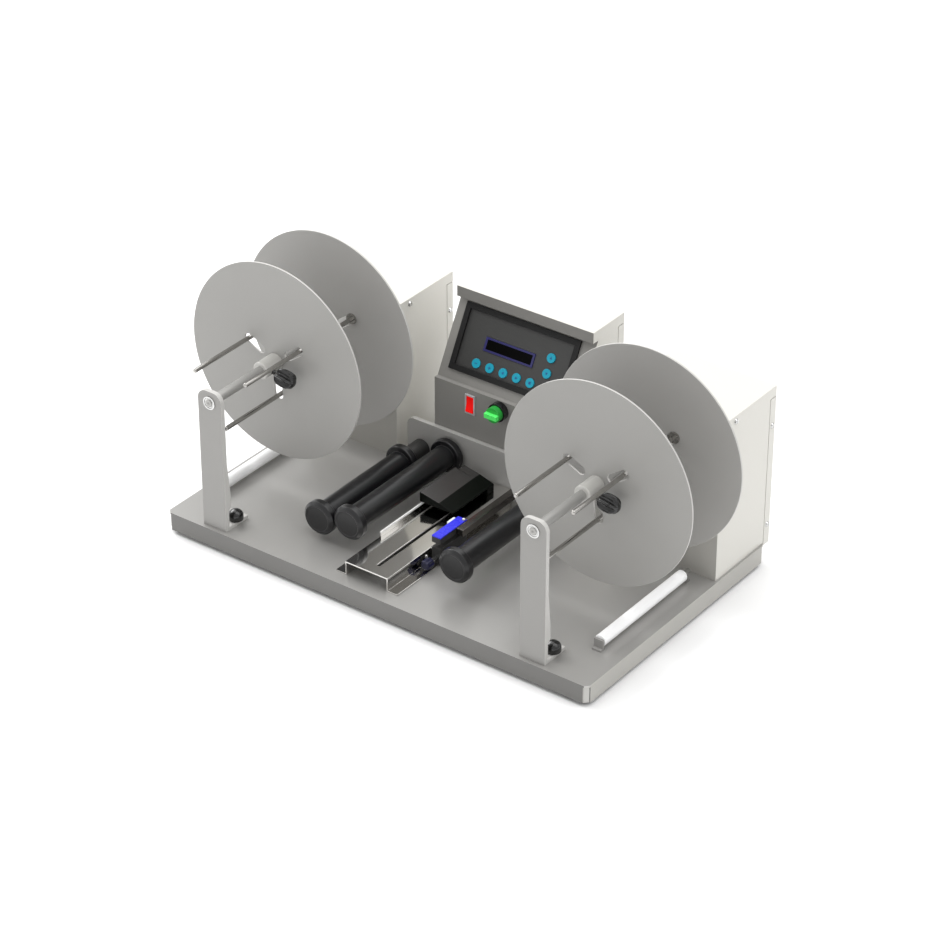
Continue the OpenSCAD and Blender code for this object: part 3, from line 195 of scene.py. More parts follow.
def make_settled_dust():
    level_from, level_gain, specks_pitch = 0.4, 1.6, 90.0
    group, given, out = new_group(
        "settled_dust",
        [("Tone", COLOUR, MID_GREY), ("Dust", COLOUR, (0.6, 0.58, 0.54, 1)), ("Amount", FLOAT, 0.1)],
        [("Color", COLOUR)])
    axes = group.nodes.new("ShaderNodeSeparateXYZ")
    group.links.new(group.nodes.new("ShaderNodeNewGeometry").outputs["Normal"], axes.inputs[0])
    rise = calc(group, "SUBTRACT", axes.outputs["Z"], level_from)
    upward = calc(group, "MULTIPLY", rise, level_gain, clamp=True)
    specks = calc(group, "MULTIPLY", upward, noise(group, specks_pitch, 4.0))
    amount = calc(group, "MULTIPLY", specks, given["Amount"], clamp=True)
    group.links.new(blend_colour(group, amount, given["Tone"], given["Dust"]), out["Color"])
    return group


TONE_PATCHES = make_patches()
ORANGE_PEEL = make_orange_peel()
BRUSHED_LINES = make_brushed_lines()
MOULDED_GRAIN = make_moulded_grain()
SCUFFED_AND_HIGHLIT_RIMS = make_scuffed_and_highlit_rims()
SETTLED_DUST = make_settled_dust()


def use_group(tree, group, **values):
    node = tree.nodes.new("ShaderNodeGroup")
    node.node_tree = group
    for label, value in values.items():
        plug(tree, value, node.inputs[label.replace("_", " ")])
    return node.outputs


# Coats, metals and plastics

def finish(name, tone, rough, metallic=0.0, spread=0.06, patches=12.0, rough_spread=0.08, relief=None,
           depth=0.02, rim_tone=None, scuff_and_highlight=0.0, dust=0.0, coat=0.0, specular=0.5, glow=0.0):
    """A material whose tone and roughness wander, with a fine relief, rims of another tone (scuffing, and
    where lighter a painted highlight), dust or a lamp's glow.
    """
    material = bpy.data.materials.new(name)
    material.use_nodes = True
    tree = material.node_tree
    shader = tree.nodes["Principled BSDF"]
    shader.inputs["Metallic"].default_value = metallic
    shader.inputs["Specular IOR Level"].default_value = specular
    shader.inputs["Coat Weight"].default_value = coat
    shader.inputs["Coat Roughness"].default_value = 0.15
    shader.inputs["Emission Color"].default_value = (*tone, 1)
    shader.inputs["Emission Strength"].default_value = glow
    base = use_group(tree, TONE_PATCHES, Tone=(*tone, 1), Spread=spread, Patches=patches, Roughness=rough,
                     Rough_Spread=rough_spread)
    colour = base["Color"]
    if rim_tone:
        colour = use_group(tree, SCUFFED_AND_HIGHLIT_RIMS, Tone=colour, Worn_Tone=(*rim_tone, 1), Amount=scuff_and_highlight)["Color"]
    if dust:
        colour = use_group(tree, SETTLED_DUST, Tone=colour, Amount=dust)["Color"]
    tree.links.new(colour, shader.inputs["Base Color"])
    tree.links.new(base["Roughness"], shader.inputs["Roughness"])
    if relief:
        group, values = relief
        bump = tree.nodes.new("ShaderNodeBump")
        bump.inputs["Strength"].default_value = 0.6
        bump.inputs["Distance"].default_value = depth * MM
        tree.links.new(use_group(tree, group, **values)["Height"], bump.inputs["Height"])
        tree.links.new(bump.outputs["Normal"], shader.inputs["Normal"])
    return material


PEEL = (ORANGE_PEEL, {"Pitch": 900.0})
GRAIN = (MOULDED_GRAIN, {"Pitch": 1400.0})
FINE_GRAIN = (MOULDED_GRAIN, {"Pitch": 2600.0})
TURNED = (BRUSHED_LINES, {"Stretch": (0.15, 1.0, 0.15), "Pitch": 2200.0})
ROLLED = (BRUSHED_LINES, {"Stretch": (1.0, 0.04, 1.0), "Pitch": 1500.0})

tray_coat = finish("tray_satin_coat", (0.375, 0.369, 0.356), 0.30, metallic=0.35, spread=0.07,
                   relief=PEEL, depth=0.01, dust=0.05)
# Painted shade: the tray's front-facing flange is a darker copy of the tray coat, for the weaker light on
# front faces.
tray_front_shade_coat = finish("tray_front_painted_shade_coat", (0.16, 0.157, 0.15), 0.38, metallic=0.2, spread=0.07, patches=9.0,
                     relief=PEEL, depth=0.02)
# Painted light: the right-facing flange is a lighter copy of the tray coat, for the light falling from the
# right.
right_side_lit_coat = finish("right_side_painted_light_coat", (0.39, 0.382, 0.355), 0.38, spread=0.06,
                          relief=PEEL, depth=0.02)
housing_coat = finish("housing_powder_coat", (0.61, 0.598, 0.557), 0.45, spread=0.03,
                      relief=PEEL, depth=0.03)
# Painted shade: the housings' front faces are a darker copy of the housing coat.
housing_front_shade_coat = finish("housing_front_painted_shade_coat", (0.44, 0.43, 0.40), 0.42, spread=0.04,
                            relief=PEEL, depth=0.03)
# Painted highlight: the slanted corner strips of the tray are lighter, standing for the highlight on a
# rounded corner.
corner_highlight_coat = finish("tray_corner_painted_highlight_coat", (0.515, 0.507, 0.484), 0.36, spread=0.04,
                     relief=PEEL, depth=0.02)
# Painted shade: the console's front faces and the ledge below the leaning panel are a darker copy of the
# housing coat.
console_front_shade_coat = finish("console_front_painted_shade_coat", (0.225, 0.219, 0.206), 0.42, spread=0.06,
                      relief=PEEL, depth=0.03)
# Painted light and shade: the front and rear discs are darker and lighter copies of one coat, for the
# different light each gets.
front_disc_shade_coat = finish("front_disc_painted_shade_coat", (0.318, 0.312, 0.298), 0.40, spread=0.04,
                         relief=PEEL, depth=0.02)
rear_disc_lit_coat = finish("rear_disc_painted_light_coat", (0.385, 0.378, 0.363), 0.40, spread=0.04,
                        relief=PEEL, depth=0.02)
# Painted light: the roller plate is a lighter coat to offset the shade it sits in.
plate_lit_coat = finish("plate_painted_light_coat", (0.36, 0.353, 0.339), 0.40, spread=0.05, relief=PEEL, depth=0.03)
# Painted highlight: a lighter coat for rims, top edges and slot walls where they catch the light.
highlight_rim_coat = finish("rim_painted_highlight_coat", (0.48, 0.473, 0.455), 0.36, spread=0.05, relief=PEEL, depth=0.02)
bracket_coat = finish("bracket_powder_coat", (0.29, 0.284, 0.272), 0.40, spread=0.05,
                      relief=PEEL, depth=0.03)
bright_steel = finish("bright_steel", (0.608, 0.608, 0.601), 0.16, metallic=1.0, spread=0.08,
                      rough_spread=0.1, relief=TURNED, depth=0.004)
rod_steel = finish("rod_steel", (0.42, 0.41, 0.39), 0.2, metallic=1.0, spread=0.08,
                   rough_spread=0.1, relief=TURNED, depth=0.004)
satin_steel = finish("satin_steel", (0.37, 0.365, 0.352), 0.36, metallic=0.55, spread=0.08,
                     rough_spread=0.12, relief=TURNED, depth=0.006)
hub_coat = finish("hub_satin_coat", (0.485, 0.477, 0.452), 0.34, metallic=0.15, spread=0.06,
                  relief=TURNED, depth=0.004, rim_tone=(0.663, 0.663, 0.647), scuff_and_highlight=0.4)
turned_steel = finish("turned_steel", (0.406, 0.398, 0.39), 0.30, metallic=1.0, spread=0.12,
                      rough_spread=0.14, relief=TURNED, depth=0.008)
polished_sheet = finish("polished_sheet", (0.74, 0.728, 0.705), 0.09, metallic=1.0, spread=0.06,
                        rough_spread=0.06, relief=ROLLED, depth=0.002)
# Partly painted highlight: the fence's rolled top is steel, painted near white for the highlight along it.
fence_roll_steel_painted_highlight = finish("fence_roll_steel_painted_highlight", (0.92, 0.92, 0.90), 0.34, metallic=0.4, spread=0.05,
                     relief=ROLLED, depth=0.003)
dark_bar = finish("dark_polished_bar", (0.234, 0.218, 0.203), 0.18, metallic=1.0, spread=0.1,
                  relief=ROLLED, depth=0.003)
black_plastic = finish("black_plastic", (0.0172, 0.0172, 0.0164), 0.42, spread=0.25,
                       relief=GRAIN, depth=0.015, rim_tone=(0.0702, 0.0702, 0.0702), scuff_and_highlight=0.5, dust=0.05)
roller_black = finish("roller_black_plastic", (0.00702, 0.00702, 0.0078), 0.30, spread=0.25,
                      relief=ROLLED, depth=0.006, rim_tone=(0.0546, 0.0546, 0.0546), scuff_and_highlight=0.4)
gloss_black = finish("gloss_black_plastic", (0.005, 0.005, 0.005), 0.2, spread=0.2,
                     relief=FINE_GRAIN, depth=0.004, rim_tone=(0.0468, 0.0468, 0.0468), scuff_and_highlight=0.4, coat=0.3)
hood_black = finish("hood_black_plastic", (0.00156, 0.00273, 0.00156), 0.4, spread=0.2,
                    relief=FINE_GRAIN, depth=0.005, specular=0.1)
# Painted reflection: the hood's top plane is a lighter grey than its near-black other faces, standing for
# the sheen it shows.
hood_lit_top = finish("hood_top_painted_sheen", (0.0312, 0.0296, 0.0281), 0.36, spread=0.1,
                  relief=FINE_GRAIN, depth=0.006)
bezel_black = finish("bezel_black_plastic", (0.011, 0.011, 0.011), 0.45, spread=0.2,
                     relief=FINE_GRAIN, depth=0.006, rim_tone=(0.03, 0.03, 0.03), scuff_and_highlight=0.3, specular=0.22)
panel_film = finish("panel_film", (0.034, 0.034, 0.033), 0.42, spread=0.12, relief=FINE_GRAIN, depth=0.002)
display_frame = finish("display_frame", (0.0156, 0.014, 0.101), 0.3, spread=0.1,
                       relief=FINE_GRAIN, depth=0.003)
display_glass = finish("display_glass", (0.00078, 0.00078, 0.00078), 0.3, spread=0.3,
                       rough_spread=0.06, specular=0.05)
lamp_white = finish("lamp_white", (0.80, 0.86, 0.84), 0.25, spread=0.05, relief=FINE_GRAIN, depth=0.003)
key_cyan = finish("key_cyan", (0.012, 0.30, 0.42), 0.32, spread=0.12, patches=80.0,
                  relief=FINE_GRAIN, depth=0.004, rim_tone=(0.039, 0.328, 0.406), scuff_and_highlight=0.2, specular=0.25)
key_mark = finish("key_mark", (0.00312, 0.078, 0.234), 0.45, spread=0.1, relief=FINE_GRAIN, depth=0.003)
rocker_red = finish("rocker_red", (0.95, 0.003, 0.002), 0.35, spread=0.08,
                    relief=FINE_GRAIN, depth=0.004, specular=0.12, glow=0.16)
grey_plastic = finish("grey_plastic", (0.452, 0.452, 0.468), 0.35, spread=0.06,
                      relief=FINE_GRAIN, depth=0.006)
selector_green = finish("selector_green", (0.010, 0.30, 0.030), 0.30, spread=0.08,
                        relief=FINE_GRAIN, depth=0.005, rim_tone=(0.078, 0.585, 0.125), scuff_and_highlight=0.5, coat=0.3)
# Painted highlight: the selector's ridge is a much lighter copy of the knob's green.
selector_ridge_painted_highlight = finish("selector_ridge_painted_highlight", (0.10, 0.92, 0.16), 0.28, spread=0.08,
                     relief=FINE_GRAIN, depth=0.005, coat=0.3)
cap_blue = finish("cap_blue", (0.022, 0.024, 0.66), 0.28, spread=0.1, relief=FINE_GRAIN, depth=0.004)
knob_navy = finish("knob_navy", (0.00468, 0.00546, 0.0351), 0.3, spread=0.2,
                   relief=FINE_GRAIN, depth=0.005)
roller_white = finish("roller_white", (0.95, 0.95, 0.95), 0.32, spread=0.03,
                      relief=TURNED, depth=0.004, rim_tone=(0.741, 0.741, 0.741), scuff_and_highlight=0.2)
stand_coat = finish("stand_satin_coat", (0.27, 0.265, 0.255), 0.4, spread=0.08, relief=PEEL, depth=0.02)
foot_rubber = finish("foot_rubber", (0.014, 0.014, 0.014), 0.75, spread=0.3,
                     relief=GRAIN, depth=0.03, dust=0.1)
board_green = finish("board_green", (0.0156, 0.125, 0.0546), 0.4, spread=0.2,
                     relief=FINE_GRAIN, depth=0.005)


# Mesh helpers

SAME_FLAT = 0.99999  # two faces whose normals agree this closely belong to one flat
WELD = 2e-6  # metres between points that are made one
ON_AXIS = 1e-4  # a radius below this is a point on a lathe's axis


def flat_areas(bm):
    """For each face, the area of the whole flat that it belongs to."""
    bm.faces.index_update()
    bm.normal_update()
    areas = [0.0] * len(bm.faces)
    seen = set()
    for first in bm.faces:
        if first.index in seen:
            continue
        seen.add(first.index)
        flat, waiting = [], [first]
        while waiting:
            face = waiting.pop()
            flat.append(face)
            for other in [f for e in face.edges for f in e.link_faces]:
                if other.index not in seen and other.normal.dot(first.normal) > SAME_FLAT:
                    seen.add(other.index)
                    waiting.append(other)
        total = sum(face.calc_area() for face in flat)
        for face in flat:
            areas[face.index] = total
    return areas


def keep_flats_flat(mesh, areas, sharp):
    """Corner normals that follow the larger flats, so that a sheet mirrors evenly up to its rounded rims."""
    limit = math.cos(math.radians(sharp))
    faces_at = [[] for _ in mesh.vertices]
    weighted = []
    for face in mesh.polygons:
        weighted.append((face.normal.copy(), face.normal * areas[face.index]))
        for corner in face.vertices:
            faces_at[corner].append(face.index)
    corners = []
    for face in mesh.polygons:
        own = weighted[face.index][0]
        for corner in face.vertices:
            total = Vector()
            for other in faces_at[corner]:
                normal, share = weighted[other]
                if normal.dot(own) > limit:
                    total += share
            corners.append(total.normalized())
    mesh.normals_split_custom_set(corners)


def piece(name, bm, material, body, stands_for=(), sharp=38.0):
    """A visible piece on a body; edges of more than sharp degrees stay crisp."""
    bmesh.ops.recalc_face_normals(bm, faces=bm.faces)
    mesh = bpy.data.meshes.new(name)
    areas = flat_areas(bm)
    bm.to_mesh(mesh)
    bm.free()
    mesh.materials.append(material)
    mesh.shade_smooth()
    mesh.set_sharp_from_angle(angle=math.radians(sharp))
    keep_flats_flat(mesh, areas, sharp)
    made = bpy.data.objects.new(name, mesh)
    bpy.context.scene.collection.objects.link(made)
    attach(made, body)
    if stands_for:
        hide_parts(*stands_for)
    return made


def node_piece(name, node, bm, material, sharp=38.0):
    """A new piece in the place of one CAD node, on the node's own body."""
    return piece(name, bm, material, BODY_OF[node], (node,), sharp)


def rim_edges(bm, degrees):
    limit = math.radians(degrees)
    return [e for e in bm.edges if len(e.link_faces) == 2 and e.calc_face_angle(0.0) > limit]


def soften(bm, width, steps=2, degrees=32.0):
    bmesh.ops.bevel(bm, geom=rim_edges(bm, degrees), offset=width * MM, offset_type="OFFSET", segments=steps,
                    profile=0.5, affect="EDGES", clamp_overlap=True)


def node_shape(node):
    """The node's CAD shape, with the triangles of each flat joined into one face."""
    flat_within = 0.6  # degrees
    bm = bmesh.new()
    bm.from_mesh(frame["nodes"][node].data)
    bmesh.ops.remove_doubles(bm, verts=bm.verts, dist=WELD)
    bmesh.ops.dissolve_limit(bm, angle_limit=math.radians(flat_within), verts=bm.verts, edges=bm.edges)
    return bm


def dress(node, ending, material, width, steps=2):
    """The node's own shape with folded or moulded edges rounded off."""
    bm = node_shape(node)
    soften(bm, width, steps)
    return node_piece(node + "_" + ending, node, bm, material)


def repaint(made, material, wanted):
    """Gives another material to the faces for which wanted(middle, normal) holds, in metres."""
    made.data.materials.append(material)
    for face in made.data.polygons:
        if wanted(face.center, face.normal):
            face.material_index = len(made.data.materials) - 1


def rounded(points, radius, steps=4):
    """A profile whose inner corners are turned into arcs of at most that radius."""
    flat = [Vector(p) for p in points]
    path = [flat[0]]
    for before, here, after in zip(flat, flat[1:], flat[2:]):
        back, on = before - here, after - here
        reach = min(radius, back.length * 0.49, on.length * 0.49)
        start, end = here + back.normalized() * reach, here + on.normalized() * reach
        for i in range(steps + 1):
            t = i / steps
            path.append(start * (1 - t) ** 2 + here * 2 * t * (1 - t) + end * t ** 2)
    path.append(flat[-1])
    return [(p.x, p.y) for p in path]


def lathe(bm, profile, place, turns=64, lobes=0, lobe_depth=None):
    """Turns a profile of (radius, height) round place's own Z axis; lobes push each ring in and out."""
    rings = []
    for row, (radius, height) in enumerate(profile):
        if radius < ON_AXIS:
            rings.append([bm.verts.new(place @ Vector((0, 0, height * MM)))])
            continue
        ring = []
        for i in range(turns):
            a = 2 * math.pi * i / turns
            r = radius
            if lobes:
                r += lobe_depth[row] * math.cos(lobes * a)
            point = Vector((r * math.cos(a) * MM, r * math.sin(a) * MM, height * MM))
            ring.append(bm.verts.new(place @ point))
        rings.append(ring)
    for low, high in zip(rings, rings[1:]):
        for i in range(turns):
            j = (i + 1) % turns
            corners = [low[i % len(low)], low[j % len(low)], high[j % len(high)], high[i % len(high)]]
            face = list(dict.fromkeys(corners))
            if len(face) > 2:
                bm.faces.new(face)


def slab(bm, low, high, place=Matrix.Identity(4), width=0.3, steps=2):
    """A block with rounded edges, between two corners given in place's own millimetres."""
    low, high = Vector(low) * MM, Vector(high) * MM
    size = high - low
    made = bmesh.ops.create_cube(bm, size=1.0, matrix=place @ Matrix.Translation((low + high) / 2)
                                 @ Matrix.Diagonal((*size, 1.0)))
    edges = list({e for v in made["verts"] for e in v.link_edges})
    bmesh.ops.bevel(bm, geom=edges, offset=width * MM, offset_type="OFFSET", segments=steps, profile=0.5,
                    affect="EDGES", clamp_overlap=True)


def extrude_outline(bm, outline, thick, place):
    """A flat shape of thickness thick, standing on place's own XY plane."""
    base = [bm.verts.new(place @ Vector((x * MM, y * MM, 0))) for x, y in outline]
    top = [bm.verts.new(place @ Vector((x * MM, y * MM, thick * MM))) for x, y in outline]
    count = len(outline)
    for i in range(count):
        j = (i + 1) % count
        bm.faces.new((base[i], base[j], top[j], top[i]))
    bm.faces.new(base)
    bm.faces.new(top)


POINT_BACK = Matrix.Rotation(math.radians(-90), 4, "X")  # turns a lathe's axis to the machine's back


def along_y(x, y, z):
    """Place of a piece turned round an axis that runs from front to back."""
    return Matrix.Translation(spot(x, y, z)) @ POINT_BACK


def node_axis_y(node):
    """Place on a turned node's axis at its front end, its length and its radius, in millimetres."""
    low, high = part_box(node)
    front = Matrix.Translation(((low.x + high.x) / 2, low.y, (low.z + high.z) / 2))
    return front @ POINT_BACK, (high.y - low.y) / MM, (high.z - low.z) / 2 / MM


# Camera, floor and light

camera = bpy.data.objects.new("photo_camera", bpy.data.cameras.new("photo_camera"))
bpy.context.scene.collection.objects.link(camera)
CAMERA_DOWN, CAMERA_TURN = 31.4871, 36.6035  # degrees
camera.data.lens = 128.09
camera.data.sensor_width = 36.0
camera.data.clip_end = 50.0
camera.location = (1.63055, -2.1885, 1.7585)
camera.rotation_euler = (math.radians(90 - CAMERA_DOWN), 0.0, math.radians(CAMERA_TURN))
bpy.context.scene.camera = camera

FLOOR_HALF = 14.0  # metres
bm = bmesh.new()
bmesh.ops.create_grid(bm, x_segments=1, y_segments=1, size=FLOOR_HALF)
floor_mesh = bpy.data.meshes.new("studio_floor")
bm.to_mesh(floor_mesh)
bm.free()
floor = bpy.data.objects.new("studio_floor", floor_mesh)
floor_mesh.materials.append(finish("studio_floor", (0.90, 0.90, 0.90), 0.8, spread=0.01, specular=0.1))
bpy.context.scene.collection.objects.link(floor)


def softbox(name, place, aim, size, power):
    """A rectangular lamp; place, aim and size in metres, power in watts."""
    light = bpy.data.lights.new(name, "AREA")
    light.shape = "RECTANGLE"
    light.size, light.size_y = size
    light.energy = power
    made = bpy.data.objects.new(name, light)
    made.location = place
    made.rotation_euler = (Vector(aim) - Vector(place)).to_track_quat("-Z", "Y").to_euler()
    bpy.context.scene.collection.objects.link(made)


softbox("overhead_light", (0.1, 0.5, 2.6), (0, 0, 0), (3.4, 3.0), 53.0)
softbox("right_light", (2.2, 0.1, 2.1), (0.1, 0, 0.05), (1.6, 1.4), 8.0)
softbox("front_light", (-0.8, -2.8, 1.2), (0, 0, 0.1), (1.8, 1.2), 3.0)
softbox("left_light", (-2.3, 0.15, 1.7), (-0.1, 0, 0.05), (2.0, 1.4), 56.0)
softbox("back_light", (-2.0, 2.9, 2.1), (0, 0, 0.1), (2.6, 1.8), 2.0)
softbox("rear_right_light", (2.0, 2.7, 2.3), (0, 0, 0.1), (1.6, 1.2), 3.0)
world = bpy.data.worlds.new("studio_world")
world.use_nodes = True
sky = world.node_tree.nodes["Background"].inputs
sky["Color"].default_value = (1.0, 1.0, 1.0, 1.0)
sky["Strength"].default_value = 0.80
bpy.context.scene.world = world
bpy.context.scene.view_settings.view_transform = "Standard"


# Tray, feet and sheet shells

LEDGE_TOP = spot(0, 0, 125).z


# Faces turned to the front, which get a darker coat as painted shade.
def shaded_front_faces(middle, normal):
    return normal.y < -0.6


# Faces turned to the right, which get a lighter coat as painted light.
def lit_right_faces(middle, normal):
    return normal.x > 0.8


# Slanted corner faces, lightened as painted highlight.
def on_highlit_corner_strip(middle, normal):
    return min(abs(normal.x), abs(normal.y)) > 0.6


# Front faces of the console and upward faces below the ledge top, darkened as painted shade.
def on_console_shaded_front(middle, normal):
    return normal.y < -0.3 or (normal.z > 0.5 and middle.z < LEDGE_TOP)


tray = dress("base_tray", "folded", tray_coat, 0.7, 3)
# Front faces darker: painted shade.
repaint(tray, tray_front_shade_coat, shaded_front_faces)
# Right faces lighter: painted light.
repaint(tray, right_side_lit_coat, lit_right_faces)
# Corner strips lighter: painted highlight.
repaint(tray, corner_highlight_coat, on_highlit_corner_strip)

FOOT_R = 11.0
foot_low, foot_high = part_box("rubber_feet")
foot_h = (foot_high.z - foot_low.z) / MM
foot_rows = rounded([(0, 0.6), (4, 0.6), (4.4, 0), (FOOT_R - 1.2, 0), (FOOT_R, 3), (FOOT_R - 1, foot_h),
                     (0, foot_h)], 0.8)
bm = bmesh.new()
for x in (foot_low.x + FOOT_R * MM, foot_high.x - FOOT_R * MM):
    for y in (foot_low.y + FOOT_R * MM, foot_high.y - FOOT_R * MM):
        lathe(bm, foot_rows, Matrix.Translation((x, y, foot_low.z)), 48)
node_piece("rubber_feet_moulded", "rubber_feet", bm, foot_rubber)

for side in ("left", "right"):
    housing = dress(side + "_housing", "folded", housing_coat, 0.55)
    # Front faces darker: painted shade.
    repaint(housing, housing_front_shade_coat, shaded_front_faces)
    dress(side + "_rear_cover", "folded", housing_coat, 0.45)
console = dress("console_shell", "folded", housing_coat, 0.5)
# Painted shade on the console front.
repaint(console, console_front_shade_coat, on_console_shaded_front)
dress("console_rear_cover", "folded", housing_coat, 0.45)
dress("cover_screws", "headed", bright_steel, 0.25)
# The plate's coat is lightened as painted light.
roller_plate = dress("roller_plate", "edged", plate_lit_coat, 0.5)
# Painted highlight on the plate's top edge.
repaint(roller_plate, highlight_rim_coat, lambda middle, normal: normal.z > 0.3)


# Control panel

PANEL_LEAN = 28.3  # degrees back from upright
PANEL_Y, PANEL_Z = 224.9, 106  # lower edge of the leaning face
panel_foot = Matrix.Translation(spot(0, PANEL_Y, PANEL_Z))
panel_place = panel_foot @ Matrix.Rotation(math.radians(90 - PANEL_LEAN), 4, "X")
dress("panel_bezel", "moulded", bezel_black, 0.5)
dress("keypad_panel", "film", panel_film, 0.12)
dress("lcd_module", "frame", display_frame, 0.2)

DISPLAY_X, DISPLAY_V = -13.0, 44.6
GLASS_HALF_W, GLASS_HALF_H = 26.6, 4.9
GLASS_BACK, GLASS_FACE = 0.25, 0.62
bm = bmesh.new()
slab(bm, (DISPLAY_X - GLASS_HALF_W, DISPLAY_V - GLASS_HALF_H, GLASS_BACK),
     (DISPLAY_X + GLASS_HALF_W, DISPLAY_V + GLASS_HALF_H, GLASS_FACE), panel_place, 0.12)
piece("lcd_glass", bm, display_glass, BODY_OF["lcd_module"])

KEY_PITCH, KEY_ROW_V = 16.1, 23.3
KEY_COLUMN_X, KEY_COLUMN_V = 34.1, (37.3, 53.0)
KEY_SPOTS = [(DISPLAY_X + (i - 2) * KEY_PITCH, KEY_ROW_V) for i in range(5)]
KEY_SPOTS += [(KEY_COLUMN_X, v) for v in KEY_COLUMN_V]
KEY_R, KEY_SKIRT_R, KEY_TOP, KEY_DISH = 4.8, 6.0, 1.2, 1.02
KEY_ROWS = rounded([(0, -2.7), (KEY_SKIRT_R, -2.7), (KEY_SKIRT_R, -1.7), (KEY_R, -1.7), (KEY_R, KEY_TOP),
                    (3.9, KEY_TOP), (0, KEY_DISH)], 0.5)
MARK_FOOT, MARK_T = 1.03, 0.12
BAR = [(-1.6, -0.4), (1.6, -0.4), (1.6, 0.4), (-1.6, 0.4)]
CROSS = [(-1.7, -0.4), (-0.4, -0.4), (-0.4, -1.7), (0.4, -1.7), (0.4, -0.4), (1.7, -0.4),
         (1.7, 0.4), (0.4, 0.4), (0.4, 1.7), (-0.4, 1.7), (-0.4, 0.4), (-1.7, 0.4)]
LEFTWARD = [(-1.6, 0), (1.1, -1.5), (1.1, 1.5)]
RIGHTWARD = [(1.6, 0), (-1.1, 1.5), (-1.1, -1.5)]
UPWARD = [(0, 1.6), (-1.5, -1.1), (1.5, -1.1)]
DOWNWARD = [(0, -1.6), (1.5, 1.1), (-1.5, 1.1)]
SQUARE = [(-1.3, -1.3), (1.3, -1.3), (1.3, 1.3), (-1.3, 1.3)]
KEY_MARKS = (BAR, CROSS, LEFTWARD, RIGHTWARD, SQUARE, DOWNWARD, UPWARD)
for number, ((u, v), mark) in enumerate(zip(KEY_SPOTS, KEY_MARKS), 1):
    node = f"key_{number}"
    place = panel_place @ Matrix.Translation((u * MM, v * MM, 0))
    bm = bmesh.new()
    lathe(bm, KEY_ROWS, place, 48)
    node_piece(node + "_cap", node, bm, key_cyan)
    bm = bmesh.new()
    extrude_outline(bm, mark, MARK_T, place @ Matrix.Translation((0, 0, MARK_FOOT * MM)))
    piece(node + "_mark", bm, key_mark, BODY_OF[node])


# Rocker, selector, inlet and board

RIDGE_BACK = spot(0, 206.3, 0).y
dress("rocker_bezel", "moulded", grey_plastic, 0.25)
dress("power_rocker", "moulded", rocker_red, 0.5)
dress("selector_base", "turned", gloss_black, 0.5)
selector = dress("selector_knob", "moulded", selector_green, 0.7)
# Painted highlight on the selector's ridge.
repaint(selector, selector_ridge_painted_highlight, lambda middle, normal: middle.y < RIDGE_BACK)
dress("power_inlet", "moulded", black_plastic, 0.3)
dress("control_board", "etched", board_green, 0.15)


# Rollers

ROLLER_R = 12.5
CAP_L, CAP_SLOPE, CAP_EDGE = 10, 3, 0.8
BORE_R, BORE_FLOOR = 4.05, 12
for number in (1, 2, 3):
    node = f"roller_{number}"
    place, length, cap_r = node_axis_y(node)
    rows = rounded([(0, 0.5), (cap_r - 5.0, 0.5), (cap_r - 4.6, 0), (cap_r - CAP_SLOPE, 0),
                    (cap_r, CAP_SLOPE), (cap_r, CAP_L - CAP_EDGE), (cap_r - CAP_EDGE, CAP_L),
                    (ROLLER_R, CAP_L), (ROLLER_R, length - CAP_L),
                    (cap_r - CAP_EDGE, length - CAP_L), (cap_r, length - (CAP_L - CAP_EDGE)),
                    (cap_r, length - CAP_SLOPE), (cap_r - CAP_SLOPE, length),
                    (BORE_R, length), (BORE_R, BORE_FLOOR), (0, BORE_FLOOR)], 0.5, 3)
    bm = bmesh.new()
    lathe(bm, rows, place, 72)
    node_piece(node + "_turned", node, bm, roller_black)

ROLLER_AXES = ((-96.5, 22.6), (-60.0, 30.6), (65.9, 30.6))
AXLE_R, AXLE_L, AXLE_Y = 4, 153.4, 61.2
COLLAR_R, COLLAR_L, COLLAR_Y = 6.5, 1.3, 213.3
SPACER_R, SPACER_L, SPACER_Y = 10, 26.3, 188.3
AXLE_ROWS = rounded([(0, 0), (AXLE_R, 0), (AXLE_R, AXLE_L), (0, AXLE_L)], 0.6)
COLLAR_ROWS = rounded([(AXLE_R, 0), (COLLAR_R, 0), (COLLAR_R, COLLAR_L), (AXLE_R, COLLAR_L)], 0.3)
SPACER_ROWS = rounded([(AXLE_R, 0), (SPACER_R, 0), (SPACER_R, SPACER_L), (AXLE_R, SPACER_L)], 0.8)
bm = bmesh.new()
for x, z in ROLLER_AXES:
    lathe(bm, AXLE_ROWS, along_y(x, AXLE_Y, z), 40)
for x, z in ROLLER_AXES[1:]:
    lathe(bm, COLLAR_ROWS, along_y(x, COLLAR_Y, z), 40)
node_piece("roller_axles_turned", "roller_axles", bm, turned_steel)
short_x, short_z = ROLLER_AXES[0]
bm = bmesh.new()
lathe(bm, SPACER_ROWS, along_y(short_x, SPACER_Y, short_z), 48)
piece("roller_1_spacer", bm, black_plastic, BODY_OF["roller_axles"])

TUBE_BORE_R = 2.55
for side in ("left", "right"):
    place, length, tube_r = node_axis_y(side + "_tray_roller")
    rows = rounded([(TUBE_BORE_R, 0), (tube_r, 0), (tube_r, length), (TUBE_BORE_R, length)], 0.7)
    bm = bmesh.new()
    lathe(bm, rows, place, 56)
    node_piece(side + "_tray_roller_tube", side + "_tray_roller", bm, roller_white)

STAND_BACK, STAND_FOOT = spot(0, 198.2, 0).y, spot(0, 0, 2.6).z


def on_back_stand(middle, normal):
    return middle.y > STAND_BACK and middle.z > STAND_FOOT


stands = dress("tray_roller_stands", "bent", stand_coat, 0.35)
repaint(stands, bright_steel, on_back_stand)


# Guide and sensors

